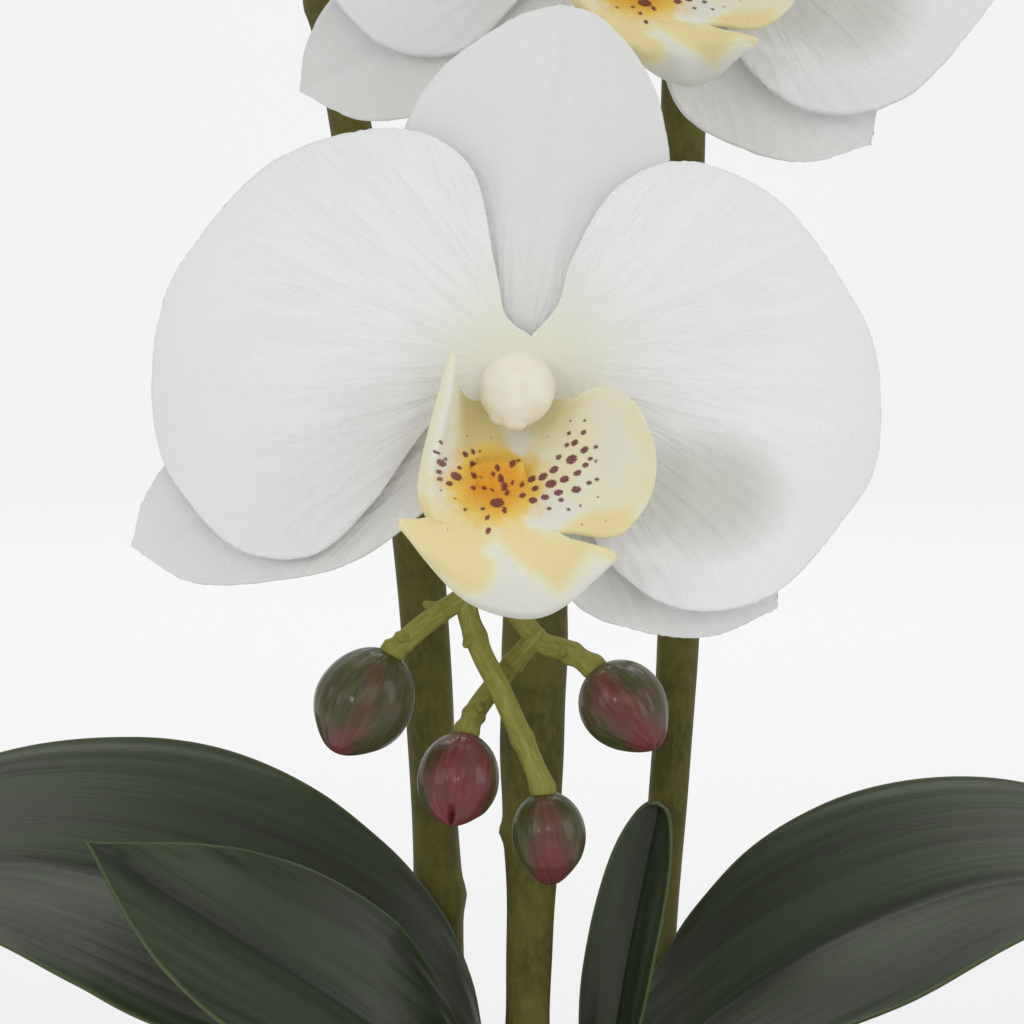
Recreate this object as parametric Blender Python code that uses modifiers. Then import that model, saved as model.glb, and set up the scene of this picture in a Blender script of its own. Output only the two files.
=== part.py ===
"""A potted moth orchid: a round pot with its bark, a short crown with arching leaves, and three flower
spikes that carry open flowers and closed buds. +Z is up, the flowers face -Y, and the origin is the
centre of the pot's underside. Lengths are written in millimetres and turned into metres by MM. The places of
the flowers, spikes, stalks, buds and leaves are written as (right, back, above the bark's edge)."""

import math

import bmesh
import bpy
from mathutils import Euler, Matrix, Vector

MM = 0.001
GAP = 0.3  # clearance between two pieces that touch on the real plant

# Pot, bark and crown
POT_HEIGHT = 98.0
POT_RIM_RADIUS = 58.0
POT_BASE_RADIUS = 44.0
POT_WALL = 3.6
POT_FLOOR = 6.0
RIM_ROLL = 1.4  # how far the rim stands proud of the wall
RIM_HEIGHT = 7.0
BARK_BELOW_RIM = 10.0
BARK_DOME = 2.5
CROWN_RADIUS = 7.6
CROWN_HEIGHT = 24.0
TURNED_STEPS = 32

BARK_TOP = POT_HEIGHT - BARK_BELOW_RIM
WALL_HIGH = POT_HEIGHT - 30  # two heights between the floor and the rim, where the wall's curve is sampled
WALL_LOW = POT_HEIGHT - 60
CROWN_BASE = BARK_TOP + BARK_DOME + GAP

# Flower parts
TEPAL_THICKNESS = 0.7
LIP_THICKNESS = 0.8
COLUMN_LENGTH = 9.4
COLUMN_RADIUS = 4.8
COLUMN_FOOT_RADIUS = 2.4
SEPAL_DEPTH = -1.3  # where the bases of the sepals and petals stand, towards the front
PETAL_DEPTH = 0.4
PEDICEL_RADIUS = 1.4
PEDICEL_END = SEPAL_DEPTH - TEPAL_THICKNESS / 2 - GAP

# Leaves
LEAF_THICKNESS = 1.5

# Buds
BUD_SIDES = 9
BUD_RINGS = 6

# The two edges of each sepal and petal, from its base to its tip: (across, up), seen from the front.
OUTLINES = {
    "dorsal_sepal": (
        ((-1.6, 3.2), (-8.5, 13), (-14.6, 25), (-13.2, 35), (-7.0, 43.5), (4.5, 48.2)),
        ((1.6, 3.2), (10.5, 13), (18.4, 25), (18.0, 36), (12.6, 45.2), (4.5, 48.2)),
    ),
    "lateral_sepal_left": (
        ((-3.4, -0.2), (-16, -1.5), (-30, -2.5), (-41.5, -7.5), (-46.6, -13.5), (-48.4, -19.8)),
        ((-2.0, -2.8), (-9, -13), (-20, -21.5), (-31, -24.2), (-41, -24.3), (-48.4, -19.8)),
    ),
    "lateral_sepal_right": (
        ((3.4, -0.2), (15, -3), (26, -8), (32, -16), (32.6, -22), (32.8, -27.6)),
        ((2.0, -2.8), (1.5, -13), (6.6, -26.2), (15.4, -30.4), (24.5, -31.1), (32.8, -27.6)),
    ),
    "petal_left": (
        ((0.4, 4.6), (-2.8, 15.5), (-6.2, 28), (-16, 32.2), (-30.5, 28), (-41.5, 16), (-45.6, 0)),
        ((-1.6, 0.6), (-10.5, -2.5), (-18, -14.4), (-25.5, -20.9), (-35, -20), (-42.5, -12), (-45.6, 0)),
    ),
    "petal_right": (
        ((1.4, 4.6), (7.2, 16), (12.6, 25), (21.6, 28.1), (33, 22.9), (42, 10.7), (45.5, -3.5)),
        ((2.6, 0.6), (7, -9), (10.6, -20.5), (20, -27.5), (32, -25.7), (42, -14.8), (45.5, -3.5)),
    ),
}
SEPAL_GRID = (4, 6)
PETAL_GRID = (5, 8)

# The lip as lines that run from its root to its front edge: (across, up, towards the front).
LIP_LINES = (
    (
        (-7.6, 2.6, 2.6), (-11.3, -6.0, 9.5), (-11.9, -14.2, 12.0), (-14.2, -17.2, 12.5), (-8.0, -25.4, 10.5),
        (-1.0, -28.0, 8.0),
    ),
    (
        (-5.0, -3.8, 2.4), (-6.6, -9.5, 6.0), (-7.2, -14.5, 8.0), (-7.6, -18.6, 10.4), (-4.6, -23.6, 10.0),
        (-1.0, -28.0, 8.0),
    ),
    (
        (-0.6, -6.4, 1.8), (-2.4, -11.6, 4.6), (-2.4, -15.2, 7.0), (-1.8, -19.5, 10.4), (-1.2, -24.0, 10.2),
        (-1.0, -28.0, 8.0),
    ),
    (
        (4.2, -4.6, 2.4), (6.2, -9.6, 6.0), (5.6, -14.8, 8.4), (4.8, -19.2, 10.8), (2.6, -23.8, 10.4),
        (-1.0, -28.0, 8.0),
    ),
    (
        (11.4, -0.4, 6.0), (16.8, -8.4, 11.5), (12.6, -17.8, 12.0), (11.0, -20.8, 12.5), (6.0, -25.2, 10.5),
        (-1.0, -28.0, 8.0),
    ),
)
LIP_GRID = (6, 7)

# Each open flower: the place of its centre, its size, and in degrees how far it turns right, looks up and
# rolls, and how far its lateral sepals hang. Its lip's front edge leans right and lifts by a few millimetres.
FLOWERS = {
    "flower_1": {
        "place": (-3.2, -55.0, 128.4), "size": 1.0, "turn": 0, "look_up": 5, "roll": 0, "hang": 0,
        "lip_lean": 0, "lip_lift": 0,
    },
    "flower_2": {
        "place": (15.4, -20.0, 191.2), "size": 1.03, "turn": 3, "look_up": -3, "roll": 1, "hang": 5,
        "lip_lean": 6.0, "lip_lift": 4.5,
    },
    "flower_3": {
        "place": (-61.0, -8.0, 236), "size": 0.96, "turn": -14, "look_up": 0, "roll": -4, "hang": 4,
        "lip_lean": -2.0, "lip_lift": 1.0,
    },
    "flower_4": {
        "place": (58.0, -8.0, 265), "size": 0.96, "turn": 12, "look_up": 2, "roll": 5, "hang": 6,
        "lip_lean": 1.5, "lip_lift": 0.5,
    },
    "flower_5": {
        "place": (-12.0, -31.0, 281), "size": 0.9, "turn": -2, "look_up": 4, "roll": 2, "hang": 2,
        "lip_lean": -1.0, "lip_lift": 2.0,
    },
}

# Each spike, from the bark to its tip: (right, back, above the bark, radius).
SPIKES = {
    "spike_left": (
        (-12.5, 17.5, 4.5, 3.2), (-13.6, 17, 38, 3.1), (-14.5, 15, 62, 3.1), (-16.4, 11, 98, 3.3),
        (-20.8, 10, 132, 3.0), (-25.9, 10, 160, 2.8), (-32, 10, 197, 2.6), (-36, 9, 237, 2.3),
        (-38, 8, 274, 2.1), (-43, 4, 300, 1.9), (-52, -2, 309, 1.7), (-60, -7, 304, 1.5),
    ),
    "spike_middle": (
        (-2.2, -14, 4.5, 3.0), (-1.7, -13, 43, 2.9), (-1.2, -13, 62, 3.4), (-1.1, -13, 76, 4.1),
        (-0.6, -13, 96, 4.2), (-1, -15, 122, 3.4), (-1.4, -22, 139, 2.8), (-2.6, -32, 142, 2.4),
        (-4.2, -38.5, 131, 2.1), (-5.6, -41, 117, 1.9), (-6.6, -41.6, 106, 1.7),
    ),
    "spike_right": (
        (13.8, 17.5, 4.5, 3.0), (15.6, 16, 38, 2.8), (17.2, 14, 56, 2.6), (19.3, 12, 90, 2.8),
        (20, 12, 127, 3.0), (19.8, 12, 160, 3.0), (21.5, 12, 194, 2.7), (26, 11, 224, 2.4),
        (32.5, 10, 252, 2.2), (38, 10, 284, 2.0), (43, 9, 308, 1.8), (52, 5, 322, 1.6), (62, 0, 322, 1.5),
    ),
}

# The side stalks of each spike: a line that starts inside the spike, and the flower or bud at its end.
STALKS = {
    "spike_left": (
        (((-35.2, 9.2, 230), (-43, 5, 236), (-53, -1, 237)), "flower_3"),
        (((-38, 8, 270), (-30, -3, 279), (-19, -18, 282.5)), "flower_5"),
        (((-60, -7, 304), (-63.5, -9.5, 299.5)), "bud_5"),
        (((-50, -1, 308.5), (-52, -5.5, 301), (-52.5, -7.5, 296)), "bud_6"),
    ),
    "spike_middle": (
        (((-2, -27, 141.5), (-2.8, -38, 136), (-3.2, -47, 130)), "flower_1"),
        (
            ((-6.6, -41.6, 107), (-9.6, -42.6, 101), (-8, -43.2, 94.5), (-5.3, -43.6, 89), (-1.5, -44.4, 80.5),
             (0.2, -45, 76.4)),
            "bud_3",
        ),
        (((-9.6, -42.6, 101), (-14, -43.8, 98.2), (-18.9, -45, 94.2)), "bud_1"),
        (
            ((-6.4, -41.4, 107), (-3.6, -40, 99.4), (-0.2, -39.6, 94.8), (3.2, -41.6, 93.8), (6.6, -44, 92)),
            "bud_4",
        ),
        (((-0.6, -39.6, 95.3), (-4.4, -39, 91), (-8, -40.6, 86.6), (-9.6, -42.8, 83.6)), "bud_2"),
    ),
    "spike_right": (
        (((21, 12, 182), (19.4, 3, 189.5), (16.6, -9, 192.4)), "flower_2"),
        (((30, 10.5, 242), (40, 6, 255), (52, -0.5, 265)), "flower_4"),
        (((62, 0, 322), (66, -2.4, 318.5)), "bud_7"),
        (((50, 6, 320), (54, 10, 317.5), (56, 12.5, 314)), "bud_8"),
    ),
}

# Each bud: where its middle lies, its length and its widest radius.
BUDS = {
    "bud_1": ((-22.9, -45.4, 87.4), 14.4, 6.2),
    "bud_2": ((-10.7, -45.0, 77.6), 12.4, 5.2),
    "bud_3": ((0.9, -45.4, 70.6), 11.8, 4.7),
    "bud_4": ((10.3, -45.4, 87.4), 12.6, 5.5),
    "bud_5": ((-67.0, -12.0, 294.2), 13.0, 5.6),
    "bud_6": ((-53.2, -9.6, 289.2), 13.6, 5.9),
    "bud_7": ((70.6, -5.4, 314.2), 12.4, 5.3),
    "bud_8": ((58.4, 15.4, 308.4), 13.0, 5.6),
}

# Each leaf: the line of its midrib, half its width, how deep it is channelled, how far along it is widest,
# and how far its upper face rolls towards the front, in degrees, at equal steps from its base to its tip.
LEAVES = {
    "leaf_left_upper": (
        ((-9.8, 0, 15), (-11.5, 0, 29), (-19, 0, 40), (-34, 1, 49), (-58, 2, 57.4), (-80, 2, 58.8),
         (-103, 0, 48), (-121, -2, 28)),
        22.8, 0.14, 0.46, (0, 50, 20, 4),
    ),
    "leaf_left_front": (
        ((-6.6, -9.4, 17), (-13, -13, 31), (-25, -19, 43), (-42, -23, 54.5), (-60.5, -22, 66)),
        14.0, 0.14, 0.5, (20, 58, 58, 50),
    ),
    "leaf_left_lower": (
        ((-9.4, 2, 7), (-28, 7, 18), (-52, 15, 23), (-76, 24, 14), (-95, 32, -6)),
        19.0, 0.14, 0.56, (-6, -6, 0, 0),
    ),
    "leaf_right_upper": (
        ((10.2, -0.5, 15), (12.6, -0.5, 28), (23, 0, 38), (43, 1, 50.5), (66, 1, 57.5), (90, 0, 55),
         (110, -2, 42), (124, -4, 24)),
        20.0, 0.18, 0.42, (0, 38, 6, -4),
    ),
    "leaf_right_inner": (
        ((6.4, -9.6, 18), (8.8, -10.6, 32), (11.8, -11, 50), (16.0, -11, 70.4)),
        5.2, 0.5, 0.5, (58, 58, 58, 58),
    ),
    "leaf_right_lower": (
        ((8.6, -7.4, 8), (26, -20, 19), (48, -36, 22), (72, -50, 10), (90, -60, -12)),
        18.0, 0.14, 0.56, (6, 6, 0, 0),
    ),
}
LEAF_GRID = (4, 11)


def material(name, color, roughness):
    made = bpy.data.materials.new(name)
    made.use_nodes = True
    shader = made.node_tree.nodes["Principled BSDF"]
    shader.inputs["Base Color"].default_value = (*color, 1.0)
    shader.inputs["Roughness"].default_value = roughness
    shader.inputs["Metallic"].default_value = 0.0
    made.diffuse_color = (*color, 1.0)
    return made


def add_object(name, mesh, finish, home, parent=None):
    mesh.materials.clear()
    mesh.materials.append(finish)
    made = bpy.data.objects.new(name, mesh)
    home.objects.link(made)
    made.parent = parent
    return made


def above_bark(place):
    """A place whose height is written from the bark's edge, with its height from the ground."""
    right, back, up, *radius = place
    return (right, back, up + BARK_TOP, *radius)


def curve_through(points, steps=10):
    """Points along a smooth curve that passes through each of the given points."""
    given = [Vector(point) for point in points]
    ends = [given[0] * 2 - given[1], *given, given[-1] * 2 - given[-2]]
    curve = []
    for before, start, end, after in zip(ends, ends[1:], ends[2:], ends[3:]):
        for step in range(steps):
            t = step / steps
            curve.append(
                start
                + (end - before) * (t / 2)
                + (before - start * 2.5 + end * 2 - after / 2) * t**2
                + (start * 1.5 - before / 2 - end * 1.5 + after / 2) * t**3
            )
    return [*curve, given[-1]]


def place_along(curve, share):
    """The point at this share of the curve's length, and the direction of the curve there."""
    lengths = [(end - start).length for start, end in zip(curve, curve[1:])]
    left = share * sum(lengths)
    for start, end, length in zip(curve, curve[1:], lengths):
        if left <= length:
            break
        left -= length
    return start.lerp(end, min(left / length, 1.0)), (end - start).normalized()


def sheet(name, surface, grid, thickness, finish, home, parent=None):
    """A thin blade: a grid laid onto surface(a, b), with a from -1 to 1 across it and b from 0 at its base
    to 1 at its tip, then given its thickness."""
    across, along = grid
    mesh = bpy.data.meshes.new(name)
    bm = bmesh.new()
    bmesh.ops.create_grid(bm, x_segments=across, y_segments=along, size=1.0)
    for vertex in bm.verts:
        vertex.co = surface(vertex.co.x, (vertex.co.y + 1) / 2) * MM
    bmesh.ops.remove_doubles(bm, verts=bm.verts, dist=0.01 * MM)
    bm.to_mesh(mesh)
    bm.free()
    mesh.shade_smooth()
    made = add_object(name, mesh, finish, home, parent)
    wall = made.modifiers.new("thickness", "SOLIDIFY")
    wall.thickness = thickness * MM
    wall.offset = 0.0
    return made


def tepal_surface(node, size, hang):
    """A sepal or petal as a surface between its two edges. Across is +X, up is +Z and the front is -Y. The
    lateral sepals swing down about the flower's centre by the angle that they hang."""
    first, second = (curve_through([(*point, 0) for point in edge]) for edge in OUTLINES[node])
    is_petal = node.startswith("petal")
    base = PETAL_DEPTH if is_petal else SEPAL_DEPTH
    rise, fall, curl = (3.2, 3.4, 1.6) if is_petal else (0.6, 3.8, -1.2)
    swing = math.radians({"lateral_sepal_left": hang, "lateral_sepal_right": -hang}.get(node, 0))
    turn = Matrix.Rotation(swing, 3, "Z")

    def surface(a, b):
        point = turn @ place_along(first, b)[0].lerp(place_along(second, b)[0], (a + 1) / 2)
        depth = base + rise * math.sin(math.pi * b) - fall * b**2 - curl * abs(a) ** 3 * math.sin(math.pi * b)
        return Vector((point.x * size, -(base + (depth - base) * size), point.y * size))

    return surface


def lip_surface(size, lean, lift):
    """The lip: a trough between two raised side lobes, which opens into the broad lobe at its front."""
    lines = [curve_through(line) for line in LIP_LINES]

    def surface(a, b):
        spot = (a + 1) / 2 * (len(lines) - 1)
        index = min(int(spot), len(lines) - 2)
        point = place_along(lines[index], b)[0].lerp(place_along(lines[index + 1], b)[0], spot - index)
        front = max(b - 0.5, 0) * 2
        return Vector((point.x + lean * front, -point.z, point.y + lift * front)) * size

    return surface


def turned(name, profile, steps, finish, home, parent=None):
    """A profile of (radius, height), from the top down its outer side to the axis, turned about +Z."""
    mesh = bpy.data.meshes.new(name)
    bm = bmesh.new()
    points = [bm.verts.new((radius * MM, 0, height * MM)) for radius, height in profile]
    for start, end in zip(points, points[1:]):
        bm.edges.new((start, end))
    bm.to_mesh(mesh)
    bm.free()
    made = add_object(name, mesh, finish, home, parent)
    screw = made.modifiers.new("turn", "SCREW")
    screw.steps = steps
    screw.render_steps = steps
    screw.use_merge_vertices = True
    screw.merge_threshold = 0.0001
    return made


def flower(name, finishes, home):
    """An open flower: three sepals behind, two petals, the lip and the column, held by an empty."""
    pose = FLOWERS[name]
    size = pose["size"]
    centre = bpy.data.objects.new(name, None)
    centre.empty_display_size = 10 * MM
    centre.matrix_world = flower_matrix(pose)
    home.objects.link(centre)
    for part in OUTLINES:
        is_petal = part.startswith("petal")
        grid = PETAL_GRID if is_petal else SEPAL_GRID
        finish = finishes["petal" if is_petal else "sepal"]
        blade = tepal_surface(part, size, pose["hang"])
        sheet(f"{name}_{part}", blade, grid, TEPAL_THICKNESS, finish, home, centre)
    blade = lip_surface(size, pose["lip_lean"], pose["lip_lift"])
    sheet(f"{name}_lip", blade, LIP_GRID, LIP_THICKNESS, finishes["lip"], home, centre)
    foot = PETAL_DEPTH + TEPAL_THICKNESS / 2 + GAP
    head = COLUMN_RADIUS * size
    length = COLUMN_LENGTH * size
    dome = [
        (head * math.sin(angle), foot + length - head * (1 - math.cos(angle)))
        for angle in (math.radians(degrees) for degrees in (0, 30, 60, 90, 120))
    ]
    profile = [*dome, (COLUMN_FOOT_RADIUS * size * 1.1, foot + 1), (COLUMN_FOOT_RADIUS * size, foot), (0, foot)]
    column = turned(f"{name}_column", profile, 10, finishes["column"], home, centre)
    column.rotation_euler = Euler((math.radians(90), 0, 0))


def flower_matrix(pose):
    angles = Euler([math.radians(angle) for angle in (-pose["look_up"], pose["roll"], pose["turn"])])
    return Matrix.Translation(Vector(above_bark(pose["place"])) * MM) @ angles.to_matrix().to_4x4()


def tube(name, line, sides, finish, home):
    """A round stalk along a smooth line of (right, back, above the bark, radius), as a closed mesh."""
    curve = curve_through([above_bark(place) for place in line], 2)
    data = bpy.data.curves.new(name, "CURVE")
    data.dimensions = "3D"
    data.bevel_depth = MM
    data.bevel_resolution = sides // 2 - 2
    data.use_fill_caps = True
    spline = data.splines.new("POLY")
    spline.points.add(len(curve) - 1)
    for point, place in zip(spline.points, curve):
        point.co = (*(place.xyz * MM), 1.0)
        point.radius = place.w
    guide = bpy.data.objects.new(name + "_guide", data)
    home.objects.link(guide)
    graph = bpy.context.evaluated_depsgraph_get()
    mesh = bpy.data.meshes.new_from_object(guide.evaluated_get(graph))
    bpy.data.objects.remove(guide)
    bm = bmesh.new()
    bm.from_mesh(mesh)
    bmesh.ops.remove_doubles(bm, verts=bm.verts, dist=0.001 * MM)
    bm.to_mesh(mesh)
    bm.free()
    mesh.name = name
    return add_object(name, mesh, finish, home)


def stalk_line(points, target):
    """The line of a side stalk. One that carries a flower goes on to just behind the flower's centre."""
    line = [(*point, PEDICEL_RADIUS) for point in points]
    if target in FLOWERS:
        end = flower_matrix(FLOWERS[target]) @ Vector((0, -PEDICEL_END * MM, 0)) / MM
        line.append((end.x, end.y, end.z - BARK_TOP, PEDICEL_RADIUS))
    return line


def spike(name, finish, home, helpers):
    """A flower spike with its side stalks joined to it."""
    stem = tube(name, SPIKES[name], 8, finish, home)
    for number, (points, target) in enumerate(STALKS[name], 1):
        stalk = tube(f"{name}_stalk_{number}", stalk_line(points, target), 6, finish, helpers)
        stalk.hide_render = True
        stalk.display_type = "WIRE"
        join = stem.modifiers.new(f"stalk {number}", "BOOLEAN")
        join.operation = "UNION"
        join.object = stalk


def stalk_tip(bud_name):
    """Where the stalk that carries this bud ends."""
    ends = [points[-1] for stalks in STALKS.values() for points, target in stalks if target == bud_name]
    return Vector(above_bark(ends[0]))


def bud(name, finish, home):
    """A closed bud: an egg whose blunt end sits on its stalk and whose tip hangs away from it."""
    middle, length, radius = BUDS[name]
    end = stalk_tip(name)
    middle = Vector(above_bark(middle))
    away = (middle - end).normalized()
    reach = (middle - end).length - GAP
    mesh = bpy.data.meshes.new(name)
    bm = bmesh.new()
    bmesh.ops.create_uvsphere(bm, u_segments=BUD_SIDES, v_segments=BUD_RINGS, radius=1.0)
    for vertex in bm.verts:
        along = vertex.co.z
        half = reach if along < 0 else length - reach
        width = radius * (1 - 0.14 * max(along, 0) ** 2)
        vertex.co = Vector((vertex.co.x * width, vertex.co.y * width, along * half)) * MM
    bm.to_mesh(mesh)
    bm.free()
    mesh.shade_smooth()
    made = add_object(name, mesh, finish, home)
    made.matrix_world = Matrix.Translation(middle * MM) @ away.to_track_quat("Z", "Y").to_matrix().to_4x4()


def leaf_surface(name):
    """A leaf as a channelled strip along its midrib, narrow at its base and pointed at its tip."""
    line, half_width, channel, widest, rolls = LEAVES[name]
    midrib = curve_through([above_bark(place) for place in line])
    roll_curve = curve_through([(roll, 0, 0) for roll in rolls])
    base_share = 0.26

    def surface(a, b):
        centre, along = place_along(midrib, b)
        level = along.cross(Vector((0, 0, 1))).normalized()
        if level.y < 0:
            level = -level
        upward = along.cross(level).normalized()
        if upward.z < 0:
            upward = -upward
        roll = math.radians(roll_curve[round(b * (len(roll_curve) - 1))].x)
        side = level * math.cos(roll) + upward * math.sin(roll)
        face = upward * math.cos(roll) - level * math.sin(roll)
        if b < widest:
            share = base_share + (1 - base_share) * math.sin(math.pi / 2 * b / widest) ** 1.2
        else:
            share = (1 - ((b - widest) / (1 - widest)) ** 2.3) ** 0.62
        reach = half_width * share
        return centre + side * (a * reach) + face * (channel * reach * abs(a) ** 1.6)

    return surface


def pot_radius(height):
    """The pot's outer radius: it flares a little faster near its foot than near its rim."""
    return POT_BASE_RADIUS + (POT_RIM_RADIUS - POT_BASE_RADIUS) * (height / POT_HEIGHT) ** 0.8


def pot_profile():
    inner_heights = (POT_FLOOR + 4, WALL_LOW, WALL_HIGH, POT_HEIGHT - 2)
    inner = [(pot_radius(height) - POT_WALL, height) for height in inner_heights]
    rim = [
        (pot_radius(POT_HEIGHT) - POT_WALL + 1.2, POT_HEIGHT),
        (pot_radius(POT_HEIGHT) + RIM_ROLL - 1.2, POT_HEIGHT),
        (pot_radius(POT_HEIGHT) + RIM_ROLL, POT_HEIGHT - 1.4),
        (pot_radius(POT_HEIGHT - RIM_HEIGHT) + RIM_ROLL, POT_HEIGHT - RIM_HEIGHT + 1.2),
        (pot_radius(POT_HEIGHT - RIM_HEIGHT), POT_HEIGHT - RIM_HEIGHT),
    ]
    outer = [(pot_radius(height), height) for height in (WALL_HIGH, WALL_LOW, POT_FLOOR + 8, 2.0)]
    return [
        (0, POT_FLOOR),
        (inner[0][0] - 4, POT_FLOOR),
        *inner,
        *rim,
        *outer,
        (POT_BASE_RADIUS - 2.0, 0),
        (0, 0),
    ]


def bark_profile():
    heights = (BARK_TOP, WALL_HIGH, WALL_LOW, POT_FLOOR + 4)
    wall = [(pot_radius(height) - POT_WALL - GAP, height) for height in heights]
    return [
        (0, BARK_TOP + BARK_DOME),
        (wall[0][0] * 0.55, BARK_TOP + BARK_DOME * 0.7),
        *wall,
        (wall[-1][0] - 4, POT_FLOOR + GAP),
        (0, POT_FLOOR + GAP),
    ]


def crown_profile():
    return [
        (0, CROWN_BASE + CROWN_HEIGHT),
        (CROWN_RADIUS * 0.5, CROWN_BASE + CROWN_HEIGHT - 1),
        (CROWN_RADIUS * 0.8, CROWN_BASE + CROWN_HEIGHT * 0.7),
        (CROWN_RADIUS, CROWN_BASE + CROWN_HEIGHT * 0.35),
        (CROWN_RADIUS * 0.92, CROWN_BASE),
        (0, CROWN_BASE),
    ]


def main():
    for old in list(bpy.data.objects):
        bpy.data.objects.remove(old)
    home = bpy.data.collections.new("potted_orchid")
    helpers = bpy.data.collections.new("cutters")
    helpers.hide_render = True
    for group in (home, helpers):
        bpy.context.scene.collection.children.link(group)

    finishes = {
        "petal": material("white petal", (0.86, 0.87, 0.84), 0.75),
        "sepal": material("white sepal", (0.82, 0.84, 0.80), 0.75),
        "lip": material("yellow lip", (0.93, 0.82, 0.42), 0.7),
        "column": material("cream column", (0.92, 0.86, 0.78), 0.5),
    }
    stem_finish = material("olive stem", (0.22, 0.23, 0.08), 0.6)
    bud_finish = material("blushed bud", (0.30, 0.14, 0.13), 0.4)
    leaf_finish = material("dark leaf", (0.03, 0.07, 0.03), 0.35)

    turned("pot", pot_profile(), TURNED_STEPS, material("white glaze", (0.85, 0.84, 0.81), 0.25), home)
    turned("bark", bark_profile(), TURNED_STEPS, material("brown bark", (0.16, 0.09, 0.05), 0.9), home)
    turned("crown", crown_profile(), 12, material("green crown", (0.12, 0.17, 0.06), 0.5), home)
    for name in LEAVES:
        sheet(name, leaf_surface(name), LEAF_GRID, LEAF_THICKNESS, leaf_finish, home)
    for name in SPIKES:
        spike(name, stem_finish, home, helpers)
    for name in BUDS:
        bud(name, bud_finish, home)
    for name in FLOWERS:
        flower(name, finishes, home)


main()
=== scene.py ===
# %% [markdown]
# # A potted moth orchid, close up
# This plant is the kind that decorates a shelf: its flowers are cut from fine woven cloth and pressed so that
# veins stand up in them, its lips are printed with yellow and dark red, and its stems, buds and leaves are
# moulded. The CAD model already says where every piece is. Here each plain solid gets a detailed piece in the
# same place, with a finish that is worked out by nodes.

# %% Load the frame
import math

import bmesh
import bpy
import numpy as np
from mathutils import Euler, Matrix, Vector, noise


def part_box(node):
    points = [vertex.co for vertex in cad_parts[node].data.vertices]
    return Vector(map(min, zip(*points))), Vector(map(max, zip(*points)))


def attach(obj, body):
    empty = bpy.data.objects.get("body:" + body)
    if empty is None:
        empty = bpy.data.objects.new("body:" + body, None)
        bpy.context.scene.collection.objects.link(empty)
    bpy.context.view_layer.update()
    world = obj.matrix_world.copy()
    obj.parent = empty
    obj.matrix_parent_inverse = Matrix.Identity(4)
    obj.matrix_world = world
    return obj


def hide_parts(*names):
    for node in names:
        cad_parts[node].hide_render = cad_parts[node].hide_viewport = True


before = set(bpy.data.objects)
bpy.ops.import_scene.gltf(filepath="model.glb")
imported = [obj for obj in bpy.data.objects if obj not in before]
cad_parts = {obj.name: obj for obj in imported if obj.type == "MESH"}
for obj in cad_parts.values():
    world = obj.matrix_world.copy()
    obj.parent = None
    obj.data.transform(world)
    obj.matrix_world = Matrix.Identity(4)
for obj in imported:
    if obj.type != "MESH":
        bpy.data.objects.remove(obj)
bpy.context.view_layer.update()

MM = 0.001
CROWN_ABOVE_BARK = 2.8  # millimetres from the bark's edge up to the crown's foot
bark_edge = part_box("crown")[0].z / MM - CROWN_ABOVE_BARK

# %% [markdown]
# ## Lines that pass through points
# Stems, leaf ribs and the edges of petals are all smooth lines through a few points. A Bezier curve object
# would do for one of them, but here hundreds of points are wanted, evenly spaced, to lay a grid on. So this
# helper works the curve out as numbers: each stretch bends by the points before and after it, and then the
# whole length is cut into equal steps.

# %% A smooth line
FINENESS = 24  # places worked out between two given points


def smooth_line(points, count):
    """`count` points, evenly spaced, along a smooth line through the given points. Any values after the
    first three, such as a radius, are carried along."""
    given = np.array(points, float)
    ends = np.vstack([2 * given[0] - given[1], given, 2 * given[-1] - given[-2]])
    t = np.linspace(0, 1, FINENESS, endpoint=False)[:, None]
    runs = [
        start
        + (end - before) * (t / 2)
        + (before - 2.5 * start + 2 * end - after / 2) * t**2
        + (1.5 * start - before / 2 - 1.5 * end + after / 2) * t**3
        for before, start, end, after in zip(ends, ends[1:], ends[2:], ends[3:])
    ]
    line = np.vstack([*runs, given[-1:]])
    steps = np.linalg.norm(np.diff(line[:, :3], axis=0), axis=1)
    reached = np.r_[0, np.cumsum(steps)]
    wanted = np.linspace(0, reached[-1], count)
    return np.stack([np.interp(wanted, reached, column) for column in line.T], axis=1)


def between(value, low, high):
    """0 below low, 1 above high, and a soft step from one to the other."""
    share = np.clip((value - low) / (high - low), 0, 1)
    return share * share * (3 - 2 * share)


corner = smooth_line([(0, 0, 0), (10, 0, 0), (10, 10, 0)], 5)
print("a line of 3 points as 5:", corner.round(1).tolist())

# %% [markdown]
# ## Sheets and tubes from a grid
# Nearly everything on this plant is a thin sheet or a round stalk. Both start as the same thing, a flat
# grid from `create_grid`. Its vertices are laid onto an array of points, row by row. For a stalk the grid is
# rolled around a line and its two long edges are merged. That keeps the faces even, so relief and thickness
# behave.

# %% Lay a grid on points
def laid_grid(bm, points):
    """A grid in bm, laid on an array of (rows, columns, 3) points in millimetres. Gives its vertices and,
    for each of them, its row and its column."""
    rows, columns = points.shape[0] - 1, points.shape[1] - 1
    made = bmesh.ops.create_grid(bm, x_segments=columns, y_segments=rows, size=1.0)["verts"]
    where = []
    for vertex in made:
        row = round((vertex.co.y + 1) / 2 * rows)
        column = round((vertex.co.x + 1) / 2 * columns)
        where.append((row, column))
        vertex.co = Vector(points[row, column]) * MM
    return made, where


def finished(name, bm, material, replaces=(), smooth=True):
    """Turns bm into a piece that rides with the plant."""
    mesh = bpy.data.meshes.new(name)
    bm.to_mesh(mesh)
    bm.free()
    if smooth:
        mesh.shade_smooth()
    mesh.materials.append(material)
    piece = bpy.data.objects.new(name, mesh)
    bpy.context.scene.collection.objects.link(piece)
    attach(piece, "root")
    if replaces:
        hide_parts(*replaces)
    return piece


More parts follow.
